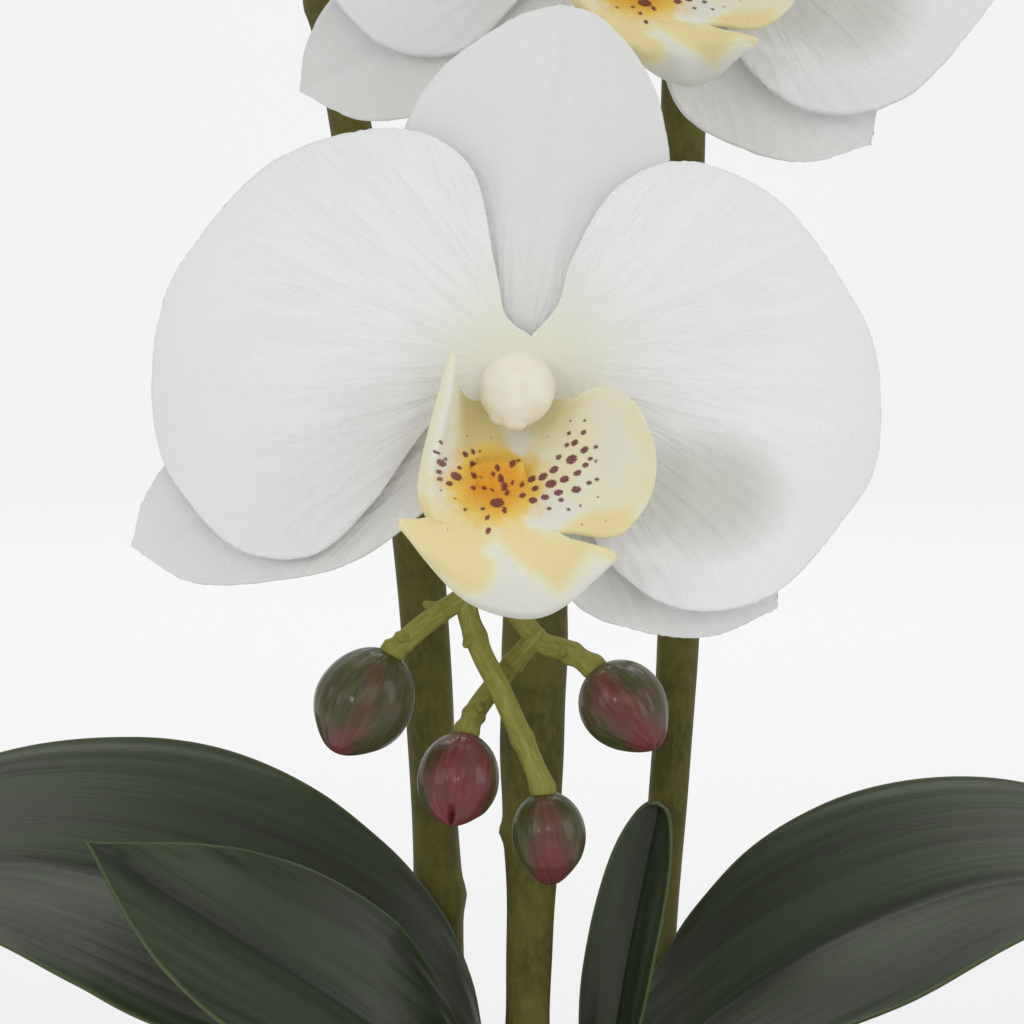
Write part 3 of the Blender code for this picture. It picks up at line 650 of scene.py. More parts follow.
def print_notes(x, y):
    """The print and painted-shade notes that the lip needs at points of the lip before it leans."""
    yellow = np.maximum(inside(YELLOW_AREAS, x, y, 1.5), 0.5 * inside(HALF_YELLOW_AREAS, x, y, 2.6))
    off_x, off_y = (x - ORANGE_MIDDLE[0]) / ORANGE_REACH[0], (y - ORANGE_MIDDLE[1]) / ORANGE_REACH[1]
    orange = 1.2 * np.exp(-((off_x**2 + off_y**2) ** 1.2)) * (1 - inside(HOLLOW_AREAS, x, y, 0.5))
    # how deep the olive painted shade is
    olive_shade = np.maximum(inside(OLIVE_SHADE_AREAS, x, y, 1.8), 0.7 * inside(FAINT_OLIVE_SHADE_AREAS, x, y, 2.4))
    white = np.maximum(inside(WHITE_AREAS, x, y, 0.9), 0.6 * inside(HALF_WHITE_AREAS, x, y, 2.2))
    nearest = np.full(x.shape, 9.0)
    for middle_x, middle_y, half in DOTS:
        way = np.array([middle_x - ROWS_MIDDLE[0], middle_y - ROWS_MIDDLE[1]])
        way = way / np.linalg.norm(way)
        along = (x - middle_x) * way[0] + (y - middle_y) * way[1]
        across = (y - middle_y) * way[0] - (x - middle_x) * way[1]
        away = (np.hypot(along / half, across / (DOT_SLIMNESS * half)) - 1) * 0.75 * half
        nearest = np.minimum(nearest, away)
    return {
        "print": np.stack([yellow * (1 - white), orange, nearest], axis=-1),
        "shade": np.stack([olive_shade, white, 0 * x], axis=-1),
        "flat": np.stack([x, y, 0 * x], axis=-1),
    }


# %% [markdown]
# ## The lip's shape
# An orchid's lip has three lobes: two side lobes that stand up like ears around the throat, and a middle
# lobe that juts out like an anchor. Each sheet is described by a small net of points, a few across and a few
# down. Smooth lines run through the net both ways and the fine grid is laid on them, so one moved point bends
# the cloth softly. The throat and both ears are one net, because on the flower they are one piece of cloth.

# %% Nets for the lip
THROAT_NET = (  # each row runs from the left ear's rolled rim through the throat to the right ear's rim
    ((-8.1, 3.8, 8.6), (-7.8, 3.9, 9.0), (-7.5, 0.6, 8.0), (-5.9, -1.6, 3.6), (-0.8, -1.6, 1.0),
     (3.2, -1.6, 1.8), (6.8, -1.4, 4.6), (9.0, -0.3, 7.0), (11.2, -0.1, 8.4)),
    ((-9.2, 0.0, 9.8), (-8.1, 0.2, 10.4), (-7.7, -1.9, 8.2), (-5.7, -3.8, 3.4), (-0.9, -4.2, 1.2),
     (3.2, -4.2, 1.9), (7.5, -3.6, 4.7), (11.2, -2.0, 7.8), (13.6, -1.5, 9.6)),
    ((-10.2, -3.6, 10.8), (-8.8, -3.4, 11.6), (-8.0, -4.2, 8.4), (-5.4, -6.4, 3.2), (-0.9, -7.2, 1.6),
     (3.2, -7.0, 2.2), (8.2, -6.0, 4.8), (12.6, -4.4, 8.4), (15.4, -3.8, 10.6)),
    ((-11.5, -9.2, 11.6), (-10.1, -9.0, 12.8), (-8.9, -9.8, 8.4), (-5.6, -11.0, 4.2), (-1.1, -11.8, 3.8),
     (3.2, -11.4, 3.8), (9.4, -10.4, 6.2), (14.2, -8.8, 9.6), (16.9, -8.6, 11.6)),
    ((-12.0, -13.2, 11.4), (-10.6, -13.2, 12.4), (-8.7, -13.6, 9.0), (-5.2, -14.2, 6.2),
     (-1.1, -14.6, 6.8), (3.4, -14.4, 6.2), (9.4, -13.8, 7.4), (13.8, -13.2, 10.2), (16.4, -13.4, 11.8)),
    ((-11.0, -16.2, 10.8), (-9.8, -16.2, 11.5), (-7.6, -16.6, 9.8), (-4.6, -17.2, 8.8),
     (-1.0, -17.4, 9.2), (3.0, -17.2, 8.6), (7.2, -17.6, 9.2), (11.0, -18.0, 10.8), (14.0, -17.2, 11.8)),
    ((-10.4, -16.7, 10.2), (-9.1, -16.7, 10.8), (-7.0, -17.6, 9.0), (-4.2, -18.6, 8.2),
     (-0.9, -19.2, 8.6), (2.8, -18.6, 8.2), (6.8, -18.0, 8.8), (10.6, -18.6, 10.2), (12.8, -18.2, 11.2)),
)
LOBE_NET = (  # each row runs from the left tip of the middle lobe to its right tip
    ((-14.6, -16.4, 12.2), (-12.0, -16.4, 11.7), (-8.4, -15.6, 9.8), (-4.6, -15.0, 6.6),
     (-0.8, -15.0, 5.8), (2.6, -16.2, 6.6), (5.8, -18.6, 9.6), (8.8, -19.5, 12.2), (11.2, -20.2, 13.8)),
    ((-14.5, -16.8, 12.5), (-11.8, -18.3, 12.2), (-8.4, -18.6, 11.2), (-4.7, -18.4, 9.9),
     (-0.9, -18.6, 10.2), (2.5, -19.6, 10.8), (5.7, -20.9, 12.2), (9.0, -20.6, 13.5),
     (11.9, -20.5, 14.3)),
    ((-14.4, -17.1, 12.4), (-11.5, -20.0, 12.3), (-8.3, -21.8, 12.3), (-4.9, -22.8, 11.8),
     (-1.1, -23.2, 11.6), (2.4, -23.8, 11.8), (5.8, -23.4, 12.6), (9.0, -21.9, 13.7),
     (12.1, -20.9, 14.3)),
    ((-14.2, -17.3, 12.0), (-11.2, -20.9, 11.6), (-8.1, -23.9, 11.0), (-5.0, -25.9, 10.4),
     (-1.3, -27.0, 10.2), (2.4, -27.3, 10.4), (5.8, -26.0, 11.6), (9.1, -23.3, 13.6),
     (12.0, -21.2, 14.0)),
    ((-14.0, -17.4, 11.8), (-11.0, -21.4, 11.0), (-8.0, -24.8, 9.8), (-5.2, -26.9, 8.8),
     (-1.4, -28.2, 8.2), (2.4, -28.4, 8.6), (5.8, -27.0, 10.6), (8.9, -24.2, 12.9), (11.6, -21.6, 13.4)),
)


print("nets:", len(THROAT_NET), "and", len(LOBE_NET), "rows of", len(THROAT_NET[0]), "points")


# %% Lines through a net
def net_points(net, rows, columns):
    """A fine grid of points on smooth lines through a net, in both directions."""
    across = np.array([smooth_line(line, columns + 1) for line in net])
    down = [smooth_line(across[:, column], rows + 1) for column in range(columns + 1)]
    return np.array(down).transpose(1, 0, 2)


LEAN_FROM, LEAN_TO = 11.0, 28.0  # how far down the lip its lean starts and is full


def leaned(number, points):
    """The lip's points, leaned and lifted towards its front edge as this flower's lip is."""
    pose, size = FLOWERS[number], frames[number][2]
    front = between(-points[..., 1], LEAN_FROM, LEAN_TO)
    moved = points.copy()
    moved[..., 0] = moved[..., 0] * (1 - pose.get("narrow", 0.0) * front) + pose["lean"] * front
    moved[..., 1] += pose["lift"] * front
    return moved * size


# %% Build the lips
LIP_GRIDS = ((THROAT_NET, 120, 200), (LOBE_NET, 70, 130))  # rows and columns of the nearest lip
FARTHER_SHARE = 0.6  # the other lips' rows and columns, as a share of those
LIP_THICKNESS = 0.55


def note_layers(bm):
    """Layers for the three notes that the printed lip reads."""
    return {name: bm.verts.layers.float_vector.new(name) for name in ("print", "shade", "flat")}


def lip_piece(number):
    """The throat with both ears, and the middle lobe, as one piece."""
    share = 1.0 if number == NEAREST else FARTHER_SHARE
    bm = bmesh.new()
    layers = note_layers(bm)
    for net, rows, columns in LIP_GRIDS:
        points = net_points(net, round(rows * share), round(columns * share))
        if net is LOBE_NET:
            ripple = 0.25 * np.sin(points[..., 0] * 0.9 + number) * between(-points[..., 1], 20, 27)
            points[..., 2] += ripple
        made, where = laid_grid(bm, in_flower(number, leaned(number, points)))
        notes = print_notes(points[..., 0], points[..., 1])
        for vertex, spot in zip(made, where):
            for name, layer in layers.items():
                vertex[layer] = notes[name][spot]
    bmesh.ops.recalc_face_normals(bm, faces=bm.faces)
    piece = finished(f"lip_{number}", bm, printed_and_shaded_lip, [f"flower_{number}_lip"])
    return thicken(piece, LIP_THICKNESS)


# %% Build the calluses
CALLUS_MIDDLE, CALLUS_REACH = (-2.4, -11.6, 4.3), (3.5, 2.7, 1.15)
CALLUS_PEAK = (0.95, -9.3, 5.6)
PEAK_WAY, PEAK_PULL = (0.78, 0.58, 0.22), 0.75
WARTS = 0.22
CALLUS_PRINT = 0.92  # its print is taken from a little nearer its middle, so its edge stays orange


def callus_piece(number):
    """The raised warty cushion in the throat, with one sharp corner at its upper right."""
    bm = bmesh.new()
    bmesh.ops.create_uvsphere(bm, u_segments=48, v_segments=32, radius=1.0)
    layers = note_layers(bm)
    places = np.array([vertex.co for vertex in bm.verts])
    bumps = np.array([noise.noise(Vector(p) * 2.2 + Vector((number, 0, 0))) for p in places])
    points = places * np.array(CALLUS_REACH) * (1 + WARTS * bumps)[:, None] + np.array(CALLUS_MIDDLE)
    pull = between((places @ np.array(PEAK_WAY)), 0.72, 1.0)[:, None]
    points = points + (np.array(CALLUS_PEAK) - points) * pull * PEAK_PULL
    flat = CALLUS_MIDDLE[:2] + CALLUS_PRINT * (points[:, :2] - CALLUS_MIDDLE[:2])
    notes = print_notes(flat[:, 0], flat[:, 1])
    placed = in_flower(number, leaned(number, points))
    for index, vertex in enumerate(bm.verts):
        vertex.co = Vector(placed[index]) * MM
        for name, layer in layers.items():
            vertex[layer] = notes[name][index]
    bmesh.ops.recalc_face_normals(bm, faces=bm.faces)
    return finished(f"callus_{number}", bm, printed_and_shaded_lip)


for number in FLOWERS:
    lip_piece(number)
    callus_piece(number)
print("lips and calluses:", len(FLOWERS), "of each")

# %% [markdown]
# ## The column
# Above the throat stands the column, a fleshy ivory knob: a round cap in front, a narrower neck behind it,
# a small tooth at its lower left and a soft beak below. It could be sculpted. A UV sphere is the nearest
# simple shape, so its back half is narrowed into the neck, and two soft pulls make the tooth and the beak.

# %% Column
def ivory_material():
    ivory = new_material("ivory_column", Roughness=0.5, Coat_Weight=0.1, Coat_Roughness=0.4)
    place = in_mm(ivory)
    mottle = cloud(ivory, place, 0.35, 2.0)
    colour = mixed(ivory, step(ivory, mottle, 0.35, 0.7), (0.80, 0.745, 0.60), (0.83, 0.80, 0.68))
    bump = relief(ivory, cloud(ivory, place, 2.5, 3.0), 0.08, 0.4)
    return connect(ivory, Base_Color=colour, Normal=bump)


ivory_column = ivory_material()
CAP_MIDDLE = 5.7  # how far in front of the flower's centre the cap's middle stands
CAP_RADIUS = 4.7
CAP_DEPTH, NECK_DEPTH, NECK_TAPER = 0.92, 0.98, 0.42
COLUMN_DROP = 0.35
COLUMN_PULLS = (  # direction, how narrow the pull is, and how far it reaches
    ((-0.55, -0.82, 0.15), 0.965, 0.45),
    ((-0.06, -0.97, 0.25), 0.93, 0.55),
)


def column_piece(number):
    """The cap and neck, with a fine groove below the cap's middle."""
    size = frames[number][2]
    bm = bmesh.new()
    bmesh.ops.create_uvsphere(bm, u_segments=64, v_segments=48, radius=1.0)
    way = np.array([vertex.co for vertex in bm.verts])
    way = way[:, [0, 2, 1]] * np.array([1, 1, -1])
    back = np.clip(-way[:, 2], 0, 1)
    reach = np.ones((len(way), 1)) * CAP_RADIUS
    for direction, narrow, pull in COLUMN_PULLS:
        aim = np.array(direction) / np.linalg.norm(direction)
        reach[:, 0] += pull * between(way @ aim, narrow, 1.0)
    points = way * reach
    points[:, 0] *= 1 - NECK_TAPER * back
    points[:, 1] *= 1 - NECK_TAPER * back
    points[:, 2] = np.where(way[:, 2] < 0, points[:, 2] * NECK_DEPTH, points[:, 2] * CAP_DEPTH)
    groove = 0.12 * np.exp(-(((points[:, 1] + 3.1) / 0.4) ** 2)) * between(way[:, 2], 0.2, 0.6)
    points[:, 1] -= COLUMN_DROP
    points[:, 2] += CAP_MIDDLE - groove
    placed = in_flower(number, points * size)
    for vertex, place in zip(bm.verts, placed):
        vertex.co = Vector(place) * MM
    bmesh.ops.recalc_face_normals(bm, faces=bm.faces)
    return finished(f"column_knob_{number}", bm, ivory_column, [f"flower_{number}_column"])


for number in FLOWERS:
    column_piece(number)
print("columns:", len(FLOWERS))

# %% [markdown]
# ## Stems
# The spikes are moulded around a wire in mottled olive plastic with a fine upright grain, a thin flash line
# where the mould closed, and a swollen node every few centimetres. The side stalks are a fresher, paler green
# with little stubs where they bend. A curve object with a bevel would give plain tubes. Rolled grids also
# take the swellings. One material serves both: each vertex notes whether it is on a side stalk, how far
# around it lies and how far along.

# %% Stem material
def stem_material():
    stem = new_material("moulded_stem", Roughness=0.65, Specular_IOR_Level=0.25)
    tint, around, along = parts(stem, note(stem, "stalk"))
    place = in_mm(stem)
    upright = joined(stem, calc(stem, "MULTIPLY", around, 2.4), calc(stem, "MULTIPLY", along, 0.3), tint)
    grain = cloud(stem, upright, 1.4, 3.0, 0.65)
    mottle = cloud(stem, place, 0.10, 4.0, 0.65)
    dark = mixed(stem, step(stem, mottle, 0.35, 0.65), (0.058, 0.053, 0.007), (0.105, 0.098, 0.016))
    dark = mixed(stem, step(stem, grain, 0.35, 0.95), dark, (0.135, 0.126, 0.028))
    pale = mixed(stem, step(stem, grain, 0.35, 0.75), (0.215, 0.205, 0.034), (0.31, 0.30, 0.075))
    colour = mixed(stem, tint, dark, pale)
    bump = relief(stem, grain, 0.08, 0.4)
    bump = relief(stem, cloud(stem, place, 1.6, 3.0), 0.06, 0.4, bump)
    return connect(stem, Base_Color=colour, Normal=bump)


moulded_stem = stem_material()
print("stem:", moulded_stem.name)

# %% Lines of the stems, as (right, back, above the bark, radius)
SPIKES = {
    "spike_left": (
        (-12.3, 17.5, -4, 3.2), (-12.5, 17.5, 4.5, 3.2), (-13.6, 17, 38, 3.1), (-14.5, 15, 62, 3.1),
        (-16.4, 11, 98, 3.3), (-20.8, 10, 132, 3.0), (-25.9, 10, 160, 2.8), (-32, 10, 197, 2.6),
        (-36, 9, 237, 2.3), (-38, 8, 274, 2.1), (-43, 4, 300, 1.9), (-52, -2, 309, 1.7),
        (-60, -7, 304, 1.5),
    ),
    "spike_middle": (
        (-2.2, -14, -4, 3.0), (-2.2, -14, 4.5, 3.0), (-1.7, -13, 43, 2.9), (-1.2, -13, 62, 3.4),
        (-1.1, -13, 76, 4.1), (-0.6, -13, 96, 4.2), (-1, -15, 122, 3.4), (-1.4, -22, 139, 2.8),
        (-2.6, -32, 142, 2.4),
        (-4.2, -38.5, 131, 2.1), (-5.6, -41, 117, 1.9), (-6.6, -41.6, 106, 1.7),
    ),
    "spike_right": (
        (13.6, 17.6, -4, 3.0), (13.8, 17.5, 4.5, 3.0), (15.6, 16, 38, 2.8), (17.2, 14, 56, 2.6),
        (19.3, 12, 90, 2.8), (20, 12, 127, 3.0), (19.8, 12, 160, 3.0), (21.5, 12, 194, 2.7),
        (26, 11, 224, 2.4), (32.5, 10, 252, 2.2),
        (38, 10, 284, 2.0), (43, 9, 308, 1.8), (52, 5, 322, 1.6), (62, 0, 322, 1.5),
    ),
}
NODES = {  # where each spike is swollen, as a share of its length
    "spike_left": (0.17, 0.36, 0.55, 0.72),
    "spike_middle": (0.20, 0.36, 0.55),
    "spike_right": (0.14, 0.33, 0.52, 0.70),
}
print("spikes:", len(SPIKES))

# %% Lines of the side stalks, each with the flower or the bud at its end
STALKS = {
    "spike_left": (
        (((-35.2, 9.2, 230), (-43, 5, 236), (-53, -1, 237)), 3),
        (((-38, 8, 270), (-30, -3, 279), (-19, -18, 282.5)), 5),
        (((-60, -7, 304), (-63.5, -9.5, 299.5)), "bud_5"),
        (((-50, -1, 308.5), (-52, -5.5, 301), (-52.5, -7.5, 296)), "bud_6"),
    ),
    "spike_middle": (
        (((-2, -27, 141.5), (-2.8, -38, 136), (-3.2, -47, 130)), 1),
        (((-6.6, -41.6, 107), (-9.6, -42.6, 101), (-8, -43.2, 94.5), (-5.3, -43.6, 89), (-1.5, -44.4, 80.5),
          (0.2, -45, 76.4)), "bud_3"),
        (((-9.6, -42.6, 101), (-14, -43.8, 98.2), (-18.9, -45, 94.2)), "bud_1"),
        (((-6.4, -41.4, 107), (-3.6, -40, 99.4), (-0.2, -39.6, 94.8), (3.2, -41.6, 93.8),
          (6.6, -44, 92)), "bud_4"),
        (((-0.6, -39.6, 95.3), (-4.4, -39, 91), (-8, -40.6, 86.6), (-9.6, -42.8, 83.6)), "bud_2"),
    ),
    "spike_right": (
        (((21, 12, 182), (19.4, 3, 189.5), (16.6, -9, 192.4)), 2),
        (((30, 10.5, 242), (40, 6, 255), (52, -0.5, 265)), 4),
        (((62, 0, 322), (66, -2.4, 318.5)), "bud_7"),
        (((50, 6, 320), (54, 10, 317.5), (56, 12.5, 314)), "bud_8"),
    ),
}
STALK_RADIUS = 1.4
STUB_PLACES = (0.35, 0.8)  # where a stalk has its stubs, as a share of its length
STUB_SHAPE = ((0, 0.95), (0.7, 0.85), (1.35, 0.55))  # how far out, and the radius there
FLOWER_BACK = 1.7  # how far behind a flower's centre its stalk ends


def raised(points):
    """Points whose third number counts from the bark's edge, as places in the model."""
    lifted = np.array(points, float)
    lifted[:, 2] += bark_edge
    return lifted


def hump(value, middle, half):
    """A soft hump of height 1 around the middle."""
    return np.exp(-(((value - middle) / half) ** 2))


def length_of(line):
    return np.linalg.norm(np.diff(line[:, :3], axis=0), axis=1).sum()


print("side stalks:", sum(len(stalks) for stalks in STALKS.values()))

# %% Parts of a stem
SPIKE_SIDES, SPIKE_ROWS, STALK_SIDES = 40, 260, 20
TUBE_GAP = 0.003  # vertices of a tube that are nearer than this are merged


def add_stalk_tube(bm, layer, line, sides, shape, tint):
    """A tube with its notes: whether it is a side stalk, how far around and how far along."""
    made, where = add_tube(bm, line, sides, shape)
    rows, length = len(line) + 2 * len(CAP_ANGLES) - 1, length_of(line)
    for vertex, (row, column) in zip(made, where):
        turn = abs(2 * column / sides - 1)
        vertex[layer] = (tint, turn * 3, row / rows * length)


def add_spike(bm, layer, name, rng):
    """The spike itself, with its swollen nodes, its flash line and its slow unevenness."""
    line = smooth_line(raised(SPIKES[name]), SPIKE_ROWS)
    share = np.linspace(0, 1, SPIKE_ROWS)
    for place in NODES[name]:
        line[:, 3] += 0.55 * hump(share, place, 0.006) + 0.2 * hump(share, place, 0.02)
    phase = rng.uniform(0, 6, 4)

    def uneven(turn, along):
        flash = 0.035 * hump(np.sin(turn), 0.0, 0.10)
        rough = 0.02 * np.sin(3 * turn + 9 * along + phase[0])
        rough = rough + 0.015 * np.sin(5 * turn - 23 * along + phase[1])
        return 1 + flash + rough + 0.012 * np.sin(90 * along + phase[2])

    add_stalk_tube(bm, layer, line, SPIKE_SIDES, uneven, 0.0)


def add_side_stalk(bm, layer, points, target, rng):
    """A side stalk up to its bud, or into the back of its flower."""
    places = raised([(*point, STALK_RADIUS) for point in points])
    if not isinstance(target, str):
        turn, centre, _ = frames[target]
        end = centre + turn @ np.array([0.0, FLOWER_BACK, 0.0])
        places = np.vstack([places, [*end, STALK_RADIUS]])
    steps = 16 * len(points)
    stalk = smooth_line(places, steps)
    along = np.linspace(0, 1, steps)
    for place in STUB_PLACES:
        stalk[:, 3] += 0.22 * hump(along, place + rng.uniform(-0.06, 0.06), 0.03)
    stalk[:, 3] += 0.35 * hump(along, 1.0, 0.05)
    phase = rng.uniform(0, 6)

    def ribbed(turn, place):
        seam = 0.07 * hump(np.sin(turn + 0.6), 0.0, 0.18)
        return 1 + seam + 0.015 * np.sin(2 * turn + 8 * place + phase)

    add_stalk_tube(bm, layer, stalk, STALK_SIDES, ribbed, 1.0)
    add_stubs(bm, layer, stalk, rng)


def add_stubs(bm, layer, stalk, rng):
    """The little stubs that stand where a stalk bends: short cones with a rounded end."""
    for place in STUB_PLACES:
        index = int((place + rng.uniform(-0.04, 0.04)) * (len(stalk) - 1))
        centre, radius = stalk[index, :3], stalk[index, 3]
        way = stalk[min(index + 1, len(stalk) - 1), :3] - stalk[index - 1, :3]
        way = way / np.linalg.norm(way)
        side = np.cross(way, rng.normal(size=3))
        side = side / np.linalg.norm(side)
        lean = side + 0.5 * way
        start = centre + side * radius * 0.3
        reach = [(*(start + lean * far), wide) for far, wide in STUB_SHAPE]
        made, _ = add_tube(bm, smooth_line(reach, 8), 12)
        for vertex in made:
            vertex[layer] = (1.0, 0.3, 0.5)


print("a stub is", STUB_SHAPE[-1][0], "mm long")


# %% Build the stems
def stem_piece(name):
    """A spike with all its side stalks."""
    rng = np.random.default_rng(len(name) + 7)
    bm = bmesh.new()
    layer = bm.verts.layers.float_vector.new("stalk")
    add_spike(bm, layer, name, rng)
    for points, target in STALKS[name]:
        add_side_stalk(bm, layer, points, target, rng)
    bmesh.ops.remove_doubles(bm, verts=bm.verts, dist=TUBE_GAP * MM)
    bmesh.ops.recalc_face_normals(bm, faces=bm.faces)
    return finished(name.replace("spike", "stem"), bm, moulded_stem, [name])


for name in SPIKES:
    stem_piece(name)
print("stems:", len(SPIKES))

# %% [markdown]
# ## Buds
# Each closed bud is a glossy egg, moulded in one piece and brushed with dark red. Three seams run from its
# foot to its tip where the outer sepals meet, fine ribs run between them, and the tip is drawn to a point or
# split. A UV sphere has its poles in the right places, so its vertices are only moved: the seams are pressed
# in by the angle around the axis. The note on each vertex keeps that angle, the place along the bud and how
# red it is.

# %% Bud material
BUD_GLOSS = {"Roughness": 0.42, "Specular_IOR_Level": 0.22, "Coat_Weight": 0.36, "Coat_Roughness": 0.12}


def bud_material():
    bud = new_material("blushed_bud", **BUD_GLOSS)
    around, along, blush = parts(bud, note(bud, "bud"))
    place = in_mm(bud)
    ribs_at = joined(bud, calc(bud, "MULTIPLY", around, 7.0), calc(bud, "MULTIPLY", along, 0.22), 0.0)
    ribs = cloud(bud, ribs_at, 1.0, 2.0, 0.55)
    patch = cloud(bud, place, 0.15, 1.5)
    shift = calc(bud, "MULTIPLY", calc(bud, "SUBTRACT", patch, 0.5), 0.9)
    green = mixed(bud, step(bud, ribs, 0.35, 0.7), (0.042, 0.046, 0.012), (0.068, 0.076, 0.020))
    red = mixed(bud, step(bud, ribs, 0.35, 0.75), (0.135, 0.022, 0.026), (0.20, 0.040, 0.042))
    amount = step(bud, calc(bud, "ADD", blush, shift), 0.25, 0.8)
    colour = mixed(bud, amount, green, red)
    brown = step(bud, cloud(bud, place, 0.30, 2.0), 0.42, 0.62)
    colour = mixed(bud, calc(bud, "MULTIPLY", brown, 0.4), colour, (0.095, 0.052, 0.035))
    bump = relief(bud, ribs, 0.22, 0.6)
    bump = relief(bud, cloud(bud, place, 2.6, 2.0), 0.04, 0.3, bump)
    return connect(bud, Base_Color=colour, Normal=bump)


blushed_bud = bud_material()
print("bud:", blushed_bud.name)

# %% Sizes of the buds
BUDS = {  # middle above the bark, length, radius, how far the seams are turned, how split and how red it is
    "bud_1": ((-22.9, -45.4, 87.4), 14.4, 6.2, 0.9, 0.0, 0.45),
    "bud_2": ((-10.7, -45.0, 77.6), 12.4, 5.2, 2.4, 1.0, 1.2),
    "bud_3": ((0.9, -45.4, 70.6), 11.8, 4.7, 0.2, 0.2, 0.85),
    "bud_4": ((10.3, -45.4, 87.4), 12.6, 5.5, 1.7, 0.1, 0.8),
    "bud_5": ((-67.0, -12.0, 294.2), 13.0, 5.6, 0.4, 0.0, 0.3),
    "bud_6": ((-53.2, -9.6, 289.2), 13.6, 5.9, 1.1, 0.6, 0.6),
    "bud_7": ((70.6, -5.4, 314.2), 12.4, 5.3, 2.0, 0.0, 0.4),
    "bud_8": ((58.4, 15.4, 308.4), 13.0, 5.6, 0.0, 0.3, 0.2),
}
BUD_GAP = 0.3  # how far before the stalk's end a bud's foot lies
STALK_ENDS = {target: points[-1] for stalks in STALKS.values() for points, target in stalks}
SEAM_TURN = 2.094  # a third of a full turn
FACING = (0.15, -1.0, -0.1)  # a bud's reddest side looks this way
print("buds:", len(BUDS), "and seams 3 on each")


# %% Build the buds
def off_by(angle, other):
    """The angle from the one to the other, at most half a turn."""
    return math.remainder(angle - other, 2 * math.pi)


def bell(value, half):
    """1 at zero, and falling softly to both sides."""
    return math.exp(-((value / half) ** 2))


def bud_piece(name):
    """A sphere drawn out into an egg, with its seams, ribs and tip, and the notes for its colour."""
    middle, length, radius, turned, split, redness = BUDS[name]
    middle, foot = (Vector(p) for p in raised([middle, STALK_ENDS[name]]))
    away = (middle - foot).normalized()
    near_reach = (middle - foot).length - BUD_GAP
    turn = away.to_track_quat("Z", "Y").to_matrix()
    bm = bmesh.new()
    layer = bm.verts.layers.float_vector.new("bud")
    made = bmesh.ops.create_uvsphere(bm, u_segments=72, v_segments=48, radius=1.0)["verts"]
    rng = np.random.default_rng(len(name) + ord(name[-1]))
    lean = rng.uniform(-1, 1, 2)
    facing = np.array(turn.transposed() @ Vector(FACING))
    front_turn = math.atan2(facing[1], facing[0])
    for vertex in made:
        x, y, z = vertex.co
        around = math.atan2(y, x)
        seam = min(abs(off_by(around - front_turn - turned, k * SEAM_TURN)) for k in range(3))
        press = 0.030 * bell(seam, 0.07) - 0.018 * bell(seam - 0.22, 0.16)
        ribs = 0.006 * math.sin(17 * around + 2.0 * z)
        tip = float(between(z, 0.55, 1.0))
        wide = radius * (1 - 0.14 * max(z, 0) ** 2) * (1 - press - ribs) * (1 - 0.10 * tip * (1 - split))
        far = (near_reach if z < 0 else length - near_reach) * z
        far = far - split * 1.5 * tip * bell(seam, 0.35) + 0.35 * tip * (1 - split)
        point = Vector((x * wide + lean[0] * tip * 0.6, y * wide + lean[1] * tip * 0.6, far))
        vertex.co = (middle + turn @ point) * MM
        stripe = bell(off_by(around - front_turn, 0.15), 0.35 + 0.6 * redness)
        blush = 1.1 * redness * stripe * (0.75 + 0.25 * z) + 0.55 * tip
        vertex[layer] = (around, z * length / 2, blush)
    bmesh.ops.recalc_face_normals(bm, faces=bm.faces)
    return finished(name.replace("bud", "bud_scales"), bm, blushed_bud, [name])


for name in BUDS:
    bud_piece(name)
print("buds:", len(BUDS))

# %% [markdown]
# ## Leaves
# The leaves are thick, leathery straps with a channel down the middle, fine parallel veins and a thin pale
# margin where the mould line was trimmed. A plane with a Curve modifier would follow one rib, but these also
# twist. So every row of the grid is set across its rib, turned by the leaf's roll, and dished. A vertex group
# lets Solidify thin the sheet towards its margins.

# %% Leaf material
DARK_GREEN, LINE_GREEN, BAND_GREEN = (0.014, 0.020, 0.009), (0.027, 0.038, 0.015), (0.034, 0.048, 0.018)
# The darkest green is painted shade, laid along the bottom of the midrib's channel.
CHANNEL_SHADE_GREEN, MARGIN_GREEN = (0.008, 0.014, 0.006), (0.062, 0.085, 0.024)


def leaf_material():
    leaf = new_material("leathery_leaf", Specular_IOR_Level=0.42)
    across, along, margin = parts(leaf, note(leaf, "blade"))
    lines_at = joined(leaf, calc(leaf, "MULTIPLY", across, 0.9), calc(leaf, "MULTIPLY", along, 0.022), 0.0)
    lines = cloud(leaf, lines_at, 1.0, 4.0, 0.62)
    bands_at = joined(leaf, calc(leaf, "MULTIPLY", across, 0.16), calc(leaf, "MULTIPLY", along, 0.012), 3.0)
    bands = cloud(leaf, bands_at, 1.0, 2.0)
    place = in_mm(leaf)
    colour = mixed(leaf, step(leaf, lines, 0.3, 0.75), DARK_GREEN, LINE_GREEN)
    colour = mixed(leaf, step(leaf, bands, 0.4, 0.7), colour, BAND_GREEN)
    # painted shade: the narrow bottom of the midrib channel is darkened
    rib = step(leaf, calc(leaf, "ABSOLUTE", across), 1.6, 0.2)
    colour = mixed(leaf, calc(leaf, "MULTIPLY", rib, 0.75), colour, CHANNEL_SHADE_GREEN)
    shift = calc(leaf, "MULTIPLY", calc(leaf, "SUBTRACT", lines, 0.5), 0.5)
    rim = step(leaf, calc(leaf, "ADD", margin, shift), 0.40, 0.10)
    colour = mixed(leaf, rim, colour, MARGIN_GREEN)
    gloss = step(leaf, lines, 0.2, 0.8)
    rough = add(leaf, "MapRange", {"Value": gloss, "To Min": 0.34, "To Max": 0.50})
    bump = relief(leaf, lines, 0.22, 0.45)
    bump = relief(leaf, cloud(leaf, place, 1.4, 3.0), 0.05, 0.3, bump)
    return connect(leaf, Base_Color=colour, Roughness=rough, Normal=bump)


